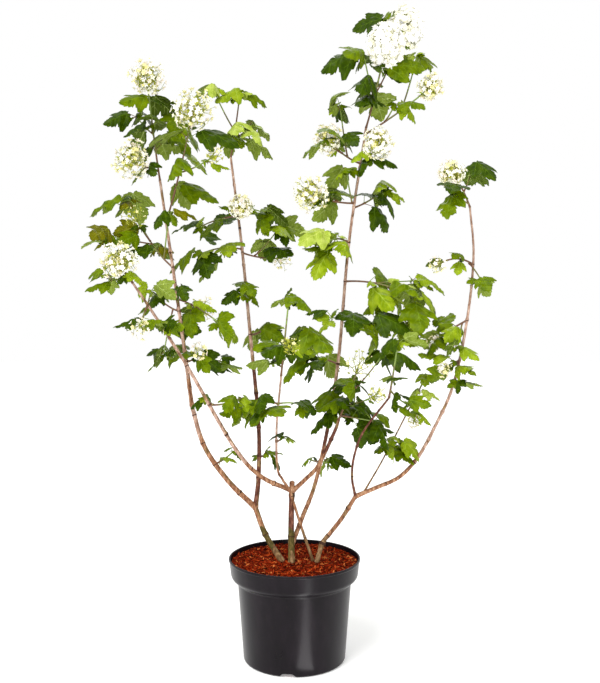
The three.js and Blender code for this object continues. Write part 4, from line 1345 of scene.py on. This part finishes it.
def node_runs(name, points, runs):
    """Distances along a limb to its nodes: those that bear shoots, and older ones between them."""
    bearing = [height for height, _ in MASSES.get(name, {}).values() if height != TIP]
    nodes = [float(np.interp(height, points[:, 2], runs)) for height in sorted(bearing)]
    seed = seed_of(name)
    spot, number = between(NODE_SPACING, chance(seed, 0)) * FIRST_NODE, 0
    while spot < runs[-1] - TIP_CLEAR:
        if all(abs(spot - node) > NODE_CLEAR for node in nodes):
            nodes.append(spot)
        number += 1
        spot += between(NODE_SPACING, chance(seed, number))
    return sorted(nodes)


def limb_swellings(name, points, runs, radii):
    """A limb's radius at each corner with its nodes, scars, knobs and collar, and how dark each ring is."""
    turn = even_turns(LIMB_SIDES)
    corners = np.repeat(radii[:, None], LIMB_SIDES, axis=1)
    dark = np.zeros(len(runs))
    seed = seed_of(name)
    for number, node in enumerate(node_runs(name, points, runs)):
        away = runs - node
        corners += (NODE_SWELL * radii * swell(away, NODE_LENGTH))[:, None]
        facing = chance(seed, 50) * math.pi + number * math.pi / 2
        for side in (0, math.pi):
            around = (turn - facing - side + math.pi) % (2 * math.pi) - math.pi
            scar = swell(away - SCAR_LIFT, SCAR_LENGTH)[:, None] * swell(around, SCAR_WIDTH)[None]
            corners += SCAR_HEIGHT * scar
        darkness = between(NODE_RING_DARKNESS, chance(seed, 51, number))
        dark = np.maximum(dark, swell(away + NODE_RING_DROP, NODE_RING_LENGTH) * darkness)
    for height, extra in KNOBS.get(name, ()):
        away = runs - np.interp(height, points[:, 2], runs)
        corners += (extra * swell(away, KNOB_LENGTH))[:, None]
        dark = np.maximum(dark, swell(away, KNOB_RING_LENGTH))
    if LIMBS[name].parent:
        corners += (COLLAR_SWELL * np.exp(-runs / COLLAR_LENGTH))[:, None]
    return corners, dark


def bark_tints(name, points, patches, dark):
    """The number of the bark at each corner."""
    starts = [height for height, _ in BARK_RUNS[name]]
    kinds = np.array([BARK_NAMES.index(tint) for _, tint in BARK_RUNS[name]])
    tints = kinds[np.searchsorted(starts, points[:, 2:3] + TINT_WANDER * patches) - 1]
    tints = np.where(patches > GREY_PATCH, BARK_NAMES.index("grey"), tints)
    return np.where(dark[:, None] + 0.5 * patches > NODE_RING_LIMIT, BARK_NAMES.index("node"), tints)


def make_limb(name):
    shares, points, runs = resampled(LIMBS[name].path, BARK_STEP)
    plain = np.array([limb_radius(name, share, point[2]) for share, point in zip(shares, points)])
    radii, dark = limb_swellings(name, points, runs, plain)
    places = circle(plain[:, None], (runs / BARK_STRETCH)[:, None] + seed_of(name) % 97, LIMB_SIDES)
    radii = radii + BARK_RELIEF * sum(share * grain(places, size) for share, size in BARK_GRAINS)
    tints = bark_tints(name, points, grain(places, PATCH_SIZE), dark)
    piece = Piece(name + "_bark", "bark", *BARK.values())
    add_tube(piece, points, radii, LIMB_SIDES, tints[:-1].ravel())
    piece.make(name)


# ---------------------------------------------------------------- twigs

SHOOT_SIDES = 8
SHOOT_STEP = 4
SHOOT_NODE_SWELL = 0.55
SHOOT_NODE_LENGTH = 2.6
SHOOT_COLLAR_SWELL = 0.9
SHOOT_COLLAR_LENGTH = 4
WOODY_PART = (0.2, 0.75)  # of a stem's length
OLIVE_PART = 0.35
SIDE_TWIG_YOUTH = 0.35  # how much less of a side twig is woody
TINT_SCATTER = 0.16


def make_twigs():
    """Every twig with its nodes swollen, woody at its foot and green at its tip."""
    piece = Piece("twigs", "foliage", *SHOOT.values())
    for twig in TWIGS:
        shares, points, runs = resampled(twig.path, SHOOT_STEP)
        radii = between(twig.radii, shares)
        for share in twig.pair_shares:
            away = runs - np.interp(share, shares, runs)
            radii = radii + SHOOT_NODE_SWELL * swell(away, SHOOT_NODE_LENGTH)
        radii = radii + SHOOT_COLLAR_SWELL * np.exp(-runs / SHOOT_COLLAR_LENGTH)
        seed = seed_of(twig.mass)
        woody = between(WOODY_PART, chance(seed, twig.order, 60))
        wander = scatter((seed, twig.order, 61), *range(len(shares))) * TINT_SCATTER
        ripeness = (shares + wander)[:-1] + (SIDE_TWIG_YOUTH if twig.order else 0)
        kinds = np.where(ripeness < woody, 0, np.where(ripeness < woody + OLIVE_PART, 1, 2))
        add_tube(piece, points, radii, SHOOT_SIDES, np.repeat(kinds, SHOOT_SIDES))
    piece.make(*(mass + "_foliage" for masses in MASSES.values() for mass in masses))


# ---------------------------------------------------------------- leaves

# Half of a blade's edge, petiole to tip, in shares of its length: the lobes' tips and the bays between them,
# each with the bend of the edge before it, and the teeth on that edge. Teeth point towards a lobe's tip.
HALF_EDGE = [
    # from, bends, to, teeth, which way the teeth point
    ((0, 0), ((-0.13, 0.17), (0.06, 0.45)), (0.48, 0.53), 4, 1),
    ((0.48, 0.53), ((0.51, 0.43), (0.47, 0.31)), (0.5, 0.22), 2, -1),
    ((0.5, 0.22), ((0.68, 0.34), (0.86, 0.18)), (1, 0), 4, 1),
]
TOOTH_DEPTH = 0.047
TOOTH_PEAK = 0.72  # where along a tooth its point is
TOOTH_SHOULDER = 0.45  # how deep a tooth is halfway along its long side
TOOTH_TAPER = 0.35  # how much less deep the last tooth of an edge is
TOOTH_LEAN = 0.7

VEIN_WIDTH = 0.016  # half of the midrib's width at the petiole
VEIN_TAPER = 0.75
MIDRIB = [(0, 0), (0.5, 0), (0.97, 0)]
LOBE_VEIN = (0.8, [(0.01, 0), (0.22, 0.24), (0.45, 0.48)])  # share of the midrib's width, and its line
SIDE_VEINS = [
    (0.55, [(0.30, 0), (0.43, 0.13)]),
    (0.55, [(0.48, 0), (0.63, 0.18)]),
    (0.55, [(0.65, 0), (0.77, 0.14)]),
    (0.5, [(0.09, 0.10), (0.03, 0.22)]),
    (0.5, [(0.18, 0.20), (0.15, 0.38)]),
    (0.5, [(0.22, 0.24), (0.38, 0.27)]),
]

BLADE_GRID = 0.085
FINE_BLADE_GRID = 0.16
BLADE_BOX = ((-0.1, 1), (-0.55, 0.56))  # the least and greatest place of the grid, along and across
EDGE_CLEAR = 0.035  # between the grid and the edge
VEIN_CLEAR = 0.03
VEIN_FACE_WIDTH = 0.75  # the part of a vein's width in which faces are vein


def half_edge():
    """The toothed right half of a blade's edge, from the petiole to just before the tip."""
    points = []
    for start, (bend, reach), end, teeth, way in HALF_EDGE:
        controls = np.array([start, bend, reach, end], float)

        def on_edge(share):
            rest = 1 - share
            weights = np.array([rest ** 3, 3 * rest * rest * share, 3 * rest * share * share, share ** 3])
            return weights @ controls

        peak = TOOTH_PEAK if way == 1 else 1 - TOOTH_PEAK
        shoulder = peak / 2 if way == 1 else (1 + peak) / 2
        for tooth in range(teeth):
            for within, depth in sorted([(0, 0), (peak, 1), (shoulder, TOOTH_SHOULDER)]):
                share = (tooth + within) / teeth
                point = on_edge(share)
                step = unit(on_edge(min(share + 0.01, 1)) - on_edge(max(share - 0.01, 0)))
                outward = np.array((-step[1], step[0]))
                tapered = depth * TOOTH_DEPTH * (1 - TOOTH_TAPER * share)
                points.append(point + outward * tapered + step * way * tapered * TOOTH_LEAN)
    return points


def vein_lines(side_veins):
    """The centre lines of a blade's veins, each with its half width at its root."""
    lines = [(np.array(MIDRIB, float), VEIN_WIDTH)]
    for side in (1, -1):
        for width, line in [LOBE_VEIN, *(SIDE_VEINS if side_veins else [])]:
            lines.append((np.array(line, float) * (1, side), VEIN_WIDTH * width))
    return lines


def vein_rim(line, width):
    """The outline of a vein that narrows along its line."""
    run = np.linspace(0, 1, len(line) * 2)
    spots = np.stack([np.interp(run, np.linspace(0, 1, len(line)), line[:, axis]) for axis in (0, 1)], -1)
    along = unit(np.gradient(spots, axis=0))
    across = np.stack([-along[:, 1], along[:, 0]], -1) * (width * (1 - VEIN_TAPER * run))[:, None]
    return np.concatenate([spots + across, (spots - across)[::-1]])


def distance_to_line(points, line):
    """The least distance of each point from a broken line, in the plane."""
    best = np.full(len(points), math.inf)
    for start, end in zip(line, line[1:]):
        share = np.clip((points - start) @ (end - start) / dot(end - start, end - start), 0, 1)
        best = np.minimum(best, np.linalg.norm(points - start - share[:, None] * (end - start), axis=1))
    return best


def inside_outline(points, outline):
    """Whether each point of the plane lies inside a closed outline."""
    ends = np.roll(outline, -1, axis=0)
    x, y = points[:, :1], points[:, 1:]
    crosses = (outline[:, 1] > y) != (ends[:, 1] > y)
    rise = np.where(ends[:, 1] == outline[:, 1], 1, ends[:, 1] - outline[:, 1])
    at = outline[:, 0] + (y - outline[:, 1]) / rise * (ends[:, 0] - outline[:, 0])
    return (crosses & (x < at)).sum(1) % 2 == 1


def blade_pattern(grid, side_veins):
    """A flat blade in shares of its length: corners, triangles, which of them are vein, and each corner's
    distances from the veins and from the edge."""
    half = np.array(half_edge())
    outline = np.concatenate([half, [(1.0, 0)], half[:0:-1] * (1, -1)])
    lines = vein_lines(side_veins)

    def distances(points):
        to_vein = np.min([distance_to_line(points, line) for line, _ in lines], axis=0)
        return to_vein, distance_to_line(points, np.concatenate([outline, outline[:1]]))

    corners = list(outline)
    edges = []
    for line, width in lines:
        rim = vein_rim(line, width)
        edges += [(len(corners) + i, len(corners) + (i + 1) % len(rim)) for i in range(len(rim))]
        corners += list(rim)
    x, y = np.meshgrid(*(np.arange(*limits, grid) for limits in BLADE_BOX))
    x = x + (np.arange(len(x)) % 2)[:, None] * grid / 2
    inner = np.stack([x.ravel(), y.ravel()], -1)
    to_vein, to_edge = distances(inner)
    inner = inner[inside_outline(inner, outline) & (to_edge > EDGE_CLEAR) & (to_vein > VEIN_CLEAR)]
    corners = [Vector(point) for point in [*corners, *inner]]
    flat, _, faces, *_ = geometry.delaunay_2d_cdt(corners, edges, [list(range(len(outline)))], 1, 1e-5)
    flat = np.array(flat)
    faces = np.array([face if is_left_turn(flat, face) else face[::-1] for face in faces])
    faces = faces[inside_outline(flat[faces].mean(1), outline)]
    centres = flat[faces].mean(1)
    vein = [distance_to_line(centres, line) < width * VEIN_FACE_WIDTH for line, width in lines]
    vein = np.any(vein, axis=0)
    to_vein, to_edge = distances(flat)
    return SimpleNamespace(flat=flat, faces=faces, vein=vein, to_vein=to_vein, to_edge=to_edge)


def is_left_turn(flat, face):
    a, b, c = flat[list(face[:3])]
    return (b - a)[0] * (c - a)[1] - (b - a)[1] * (c - a)[0] > 0


# How a leaf differs from the next: the least and greatest of each trait, whose keys count on from the first.
TRAITS = {
    "width": (0.86, 1.04), "fold": (0.02, 0.55), "curl": (0.1, 0.5), "lobe_curl": (0.05, 0.6),
    "twist": (-0.35, 0.35), "wave": (0.008, 0.03),
}
FIRST_TRAIT_KEY = 10
BLADE_RISE = 0.04
CURL_START = 0.2  # where along the blade its tip starts to bend down
CURL_DRAW = 0.35  # how far a curled tip draws in
FOLD_DRAW, LOBE_CURL_DRAW = 0.3, 0.12  # how far a folded blade and curled lobes draw in
WAVES = (17, 9)  # radians along and across the blade
QUILTING = 0.02
QUILT_WIDTH = 0.03
BLADE_THICK = 0.35  # millimetres
RIB_THICK = 0.4  # more, at a vein's middle
RIB_WIDTH = 0.02
THIN_EDGE, SHARP_EDGE = 0.04, 0.02  # the parts of a blade in which it thins and in which it comes to nothing


def blade_surface(leaf, pattern):
    """A leaf's upper corners, arched, folded and quilted, and its lower corners."""
    own = SimpleNamespace(**{
        name: between(limits, chance(*leaf.keys, FIRST_TRAIT_KEY + number))
        for number, (name, limits) in enumerate(TRAITS.items())
    })
    forward, sideways = pattern.flat.T
    sideways = sideways * own.width
    side = abs(sideways)
    bent = np.maximum(forward - CURL_START, 0) ** 2
    rise = BLADE_RISE - own.fold * side - own.curl * bent - own.lobe_curl * side ** 2
    ripple = np.sin(forward * WAVES[0] + sideways * WAVES[1] + leaf.keys[0])
    rise = rise + own.twist * sideways * forward + own.wave * ripple
    rise = rise - QUILTING * swell(pattern.to_vein, QUILT_WIDTH)
    forward = forward - CURL_DRAW * own.curl * bent
    narrowed = sideways * (1 - FOLD_DRAW * own.fold - LOBE_CURL_DRAW * own.lobe_curl)
    upper = blade_points(leaf, np.stack([forward, narrowed, rise], -1))
    thick = BLADE_THICK * np.clip(pattern.to_edge / THIN_EDGE, 0, 1)
    thick = thick + RIB_THICK * swell(pattern.to_vein, RIB_WIDTH)
    lower = upper - leaf.normal * (thick * np.clip(pattern.to_edge / SHARP_EDGE, 0, 1))[:, None]
    return upper, lower


# The tints of a mass's leaves, each as likely.
FOLIAGE_MIX = {
    "deep": ["dark", "dark", "mid"],
    "green": ["dark", "mid", "mid", "light"],
    "fresh": ["mid", "light", "light", "young"],
    "autumnal": ["mid", "olive", "dark"],
}
MIX_MASSES = {
    "deep": [
        "left_crown", "left_outer_leaves", "left_low_spray", "upright_low", "crossing_leaves",
        "crossing_foot", "top_crown", "low_left", "low_leaves", "centre_right_crown", "right_crown",
    ],
    "fresh": ["upright_crown", "top_right", "hanging_left", "mid_right", "slender_crown"],
    "autumnal": ["left_outer_spray"],
}
MASS_MIX = {mass: mix for mix, masses in MIX_MASSES.items() for mass in masses}

PETIOLE_SIDES = 5
PETIOLE_STEPS = 7
PETIOLE_BEND = (0.25, 0.06)  # how far before its end, and how high, as shares of its length
PETIOLE_END = (0.02, 0, 0.03)  # on the blade
PETIOLE_RADII = (0.85, 0.6)
PETIOLE_FOOT_SWELL = 0.5
PETIOLE_FOOT_FALL = 14  # how fast the swelling at its foot ends
BROWN_PETIOLES = 0.3  # how many are brown


def tint_of(leaf):
    mix = FOLIAGE_MIX[MASS_MIX.get(leaf.mass, "green")]
    return mix[int(chance(*leaf.keys, 20) * len(mix))]


def add_petiole(stalks, leaf):
    """The stalk that carries a blade, in a bend from its twig's axis to the blade's foot."""
    start = leaf.twig.path.point(leaf.share)
    end = blade_points(leaf, PETIOLE_END)[0]
    bend = leaf.base - leaf.stalk * leaf.petiole * PETIOLE_BEND[0] + UP * leaf.petiole * PETIOLE_BEND[1]
    steps = np.linspace(0, 1, PETIOLE_STEPS)[:, None]
    path = (1 - steps) ** 2 * start + 2 * steps * (1 - steps) * bend + steps ** 2 * end
    steps = steps[:, 0]
    radii = between(PETIOLE_RADII, steps) + PETIOLE_FOOT_SWELL * np.exp(-steps * PETIOLE_FOOT_FALL)
    add_tube(stalks, path, radii, PETIOLE_SIDES, int(chance(*leaf.keys, 21) < BROWN_PETIOLES))


def make_leaves(leaves):
    """Blades joined by tint, their undersides, and the stalks that carry them."""
    patterns = [blade_pattern(BLADE_GRID, True), blade_pattern(FINE_BLADE_GRID, False)]
    tops = {name: Piece(name + "_leaves", "foliage", LEAF[name], VEIN[name]) for name in LEAF}
    under = Piece("leaf_undersides", "foliage", UNDERSIDE, RIB, UNDERSIDE_DARK)
    stalks = Piece("leaf_stalks", "foliage", SHOOT["green"], SHOOT["brown"])
    for number, leaf in enumerate(leaves):
        pattern = patterns[number >= GROWN_LEAVES]
        upper, lower = blade_surface(leaf, pattern)
        tint = tint_of(leaf)
        tops[tint].add(upper, pattern.faces, pattern.vein.astype(int))
        under.add(lower, pattern.faces[:, ::-1], np.where(pattern.vein, 1, 2 if tint == "dark" else 0))
        add_petiole(stalks, leaf)
    for piece in tops.values():
        if piece.count:
            piece.make()
    under.make()
    stalks.make()


# ---------------------------------------------------------------- blossom

GOLDEN_TURN = math.pi * (3 - math.sqrt(5))

# Each style's florets, in layers: how many, their radius in millimetres, the shares of the head's radius that
# they stand at, how many are open, and their petals' tints. `tall` is a head's height over its width, `width`
# a petal's width over its length, and `eyes` how many florets show their eye.
BLOSSOM = {
    "snowball": dict(tall=1.14, width=0.86, eyes=0.1, layers=[
        (200, 9.2, (0.86, 1.08), 1, ["white", "white", "white", "ivory"]),
        (140, 10.8, (0.7, 0.86), 1, ["ivory", "white"]),
    ]),
    "lace": dict(tall=1, width=0.58, eyes=0.4, layers=[
        (112, 7, (0.7, 1.18), 0.92, ["cream", "ivory", "blush", "white", "ivory"]),
        (76, 6, (0.36, 0.76), 0.6, ["cream", "green", "green"]),
    ]),
    "pale": dict(tall=1, width=0.62, eyes=0.6, layers=[
        (22, 6.6, (0.66, 1.1), 0.85, ["blush", "white", "cream"]),
        (8, 4.6, (0.3, 0.6), 0.4, ["cream"]),
    ]),
    "young": dict(tall=1, width=0.6, eyes=0.3, layers=[
        (30, 4.8, (0.7, 1.02), 0.4, ["cream", "green"]),
        (14, 4.2, (0.3, 0.6), 0.2, ["green"]),
    ]),
}
PETAL_NAMES = list(PETAL)
PETAL_COUNT = 5
PETAL_GRID = (4, 2)  # faces along and across
CLAW = 0.12  # where a petal starts, as a share of its length
CUPPING = (1.25, 0.12)  # radians, of a closed floret's petals and an open one's
EYE_SIDES = 6
EYE_HEIGHTS = (-0.05, 0.16)  # shares of the floret's radius
EYE_RADII = (0.16, 0.1)
BUD_SIDES = 6
BUD_SCALE = 0.5  # of a floret's radius
BUD_HEIGHTS = (-0.4, 0.0, 0.5, 0.9)
BUD_RADII = (0.25, 0.5, 0.42, 0.15)
GREEN_BUDS = 0.6  # how many are green
FLORET_SIZE = (0.78, 1.12)
FLORET_SCATTER = 0.35
FLORET_TILT = 0.8
FLORET_SINK = 0.3  # how far in a floret's centre lies, as a share of its radius
OPENNESS = (0.5, 1)
FULL_TURN = 6.3  # radians, nearly
HEADING_SHARE = 0.98  # where along a twig its head's direction is taken
HEAD_FOOT = 0.5  # how far under its centre a head forks, as a share of its radius
RAY_COUNT = 9
RAY_REACH = 0.75
RAY_LEAN = 0.8
RAY_RADII = (1.0, 0.75, 0.6)
RAY_SIDES = 5
FLORET_STALK_RADII = (0.55, 0.45, 0.4)
FLORET_STALK_SIDES = 4
STALK_BOW = 0.1


def petal_pattern(width):
    """One petal in shares of the floret's radius: a rounded blade that narrows to its claw."""
    along, across = PETAL_GRID
    corners = []
    for row in range(along + 1):
        v = row / along
        half = width / 2 * math.sin(math.pi * (0.1 + 0.8 * v)) ** 0.7
        for column in range(across + 1):
            u = column / across * 2 - 1
            reach = CLAW + (1 - CLAW) * v * (1 - 0.16 * u * u)
            lift = 0.10 * u * u + 0.24 * v ** 2 - 0.10 * v
            corners.append((reach, u * half, lift))
    faces = []
    for row in range(along):
        for column in range(across):
            first = row * (across + 1) + column
            faces.append((first, first + across + 1, first + across + 2, first + 1))
    return np.array(corners), np.array(faces)


def floret_frame(outward, turn):
    """Two directions square to a floret's axis, turned about it."""
    first = unit(np.cross(outward, (0.27, 0.61, 0.74)))
    second = np.cross(outward, first)
    return first * math.cos(turn) + second * math.sin(turn), second * math.cos(turn) - first * math.sin(turn)


def add_floret(piece, eyes, pattern, centre, outward, size, keys, kind, has_eye):
    """Five petals round a green eye, cupped as far as the floret isn't open."""
    corners, faces = pattern
    cup = between(CUPPING, between(OPENNESS, chance(*keys, 11)))
    turn = chance(*keys, 12) * FULL_TURN
    for petal in range(PETAL_COUNT):
        first, second = floret_frame(outward, turn + petal * 2 * math.pi / PETAL_COUNT)
        reach = corners[:, 0] * math.cos(cup) - corners[:, 2] * math.sin(cup)
        lift = corners[:, 0] * math.sin(cup) + corners[:, 2] * math.cos(cup)
        local = np.stack([reach, corners[:, 1], lift], -1) * size
        piece.add(centre + local @ np.array([first, second, outward]), faces, kind)
    if has_eye:
        ends = [centre + outward * size * height for height in EYE_HEIGHTS]
        add_tube(eyes, ends, np.array(EYE_RADII) * size, EYE_SIDES)


def add_bud(piece, centre, outward, size, kind):
    """A closed bud: a small pear-shaped body."""
    path = centre + outward * size * np.array(BUD_HEIGHTS)[:, None]
    add_tube(piece, path, np.array(BUD_RADII) * size, BUD_SIDES, kind)


def fibonacci_direction(number, count):
    """An even spread of directions over a sphere."""
    height = 1 - (number + 0.5) * 2 / count
    ring = math.sqrt(1 - height * height)
    turn = number * GOLDEN_TURN
    return np.array((ring * math.cos(turn), ring * math.sin(turn), height))


def add_head(twig, petals, buds, eyes, stalks):
    """A head of blossom: stalks that fork from the twig's tip, and layers of florets and buds on them."""
    style = BLOSSOM[twig.kind]
    seed = seed_of(twig.mass) + twig.order
    radius = twig.across / 2
    pattern = petal_pattern(style["width"])
    heading = twig.path.tangent(HEADING_SHARE)
    foot = twig.to - heading * radius * HEAD_FOOT
    rays = [unit(heading * RAY_LEAN + fibonacci_direction(ray, RAY_COUNT)) for ray in range(RAY_COUNT)]
    hubs = np.array([foot + ray * radius * RAY_REACH for ray in rays])
    fork = foot - heading * radius * 0.1
    for hub in hubs:
        add_tube(stalks, [fork, between((foot, hub), 0.5), hub], RAY_RADII, RAY_SIDES)
    for layer, (count, wide, depth, open_share, tints) in enumerate(style["layers"]):
        for number in range(count):
            keys = (seed, 90 + layer, number)
            spread = unit(fibonacci_direction(number, count) + scatter(keys, 1, 2, 3) * FLORET_SCATTER)
            size = wide * between(FLORET_SIZE, chance(*keys, 4))
            stand = radius * between(depth, chance(*keys, 5)) - size * FLORET_SINK
            centre = twig.to + spread * stand * (1, 1, style["tall"])
            outward = unit(spread + scatter(keys, 6, 7, 8) * FLORET_TILT)
            if chance(*keys, 10) < open_share:
                tint = PETAL_NAMES.index(tints[int(chance(*keys, 9) * len(tints))])
                has_eye = chance(*keys, 13) < style["eyes"]
                add_floret(petals, eyes, pattern, centre, outward, size, keys, tint, has_eye)
            else:
                add_bud(buds, centre, outward, size * BUD_SCALE, int(chance(*keys, 14) >= GREEN_BUDS))
            hub = hubs[np.argmin(np.linalg.norm(hubs - centre, axis=1))]
            middle = between((hub, centre), 0.5) + unit(centre - foot) * size * STALK_BOW
            add_tube(stalks, [hub, middle, centre], FLORET_STALK_RADII, FLORET_STALK_SIDES)


def make_blossom():
    petals = {kind: Piece(kind + "_florets", "foliage", *PETAL.values()) for kind in BLOSSOM}
    buds = Piece("flower_buds", "foliage", PETAL["green"], PETAL["cream"])
    eyes = Piece("floret_eyes", "foliage", EYE)
    stalks = Piece("flower_stalks", "foliage", STALK)
    for twig in TWIGS:
        if twig.kind:
            add_head(twig, petals[twig.kind], buds, eyes, stalks)
    for piece in (*petals.values(), buds, eyes, stalks):
        piece.make()


# ---------------------------------------------------------------- the whole plant


def make_floor():
    ring = circle(FLOOR_RADIUS, -FLOOR_DROP, FLOOR_SIDES)
    floor = add_object("floor", new_mesh("floor", ring, [list(range(FLOOR_SIDES))], FLOOR))


make_pot()
make_mulch_bed()
make_mulch_chips()
for limb_name in LIMBS:
    make_limb(limb_name)
make_twigs()
make_leaves(CROWD.leaves)
make_blossom()
make_floor()
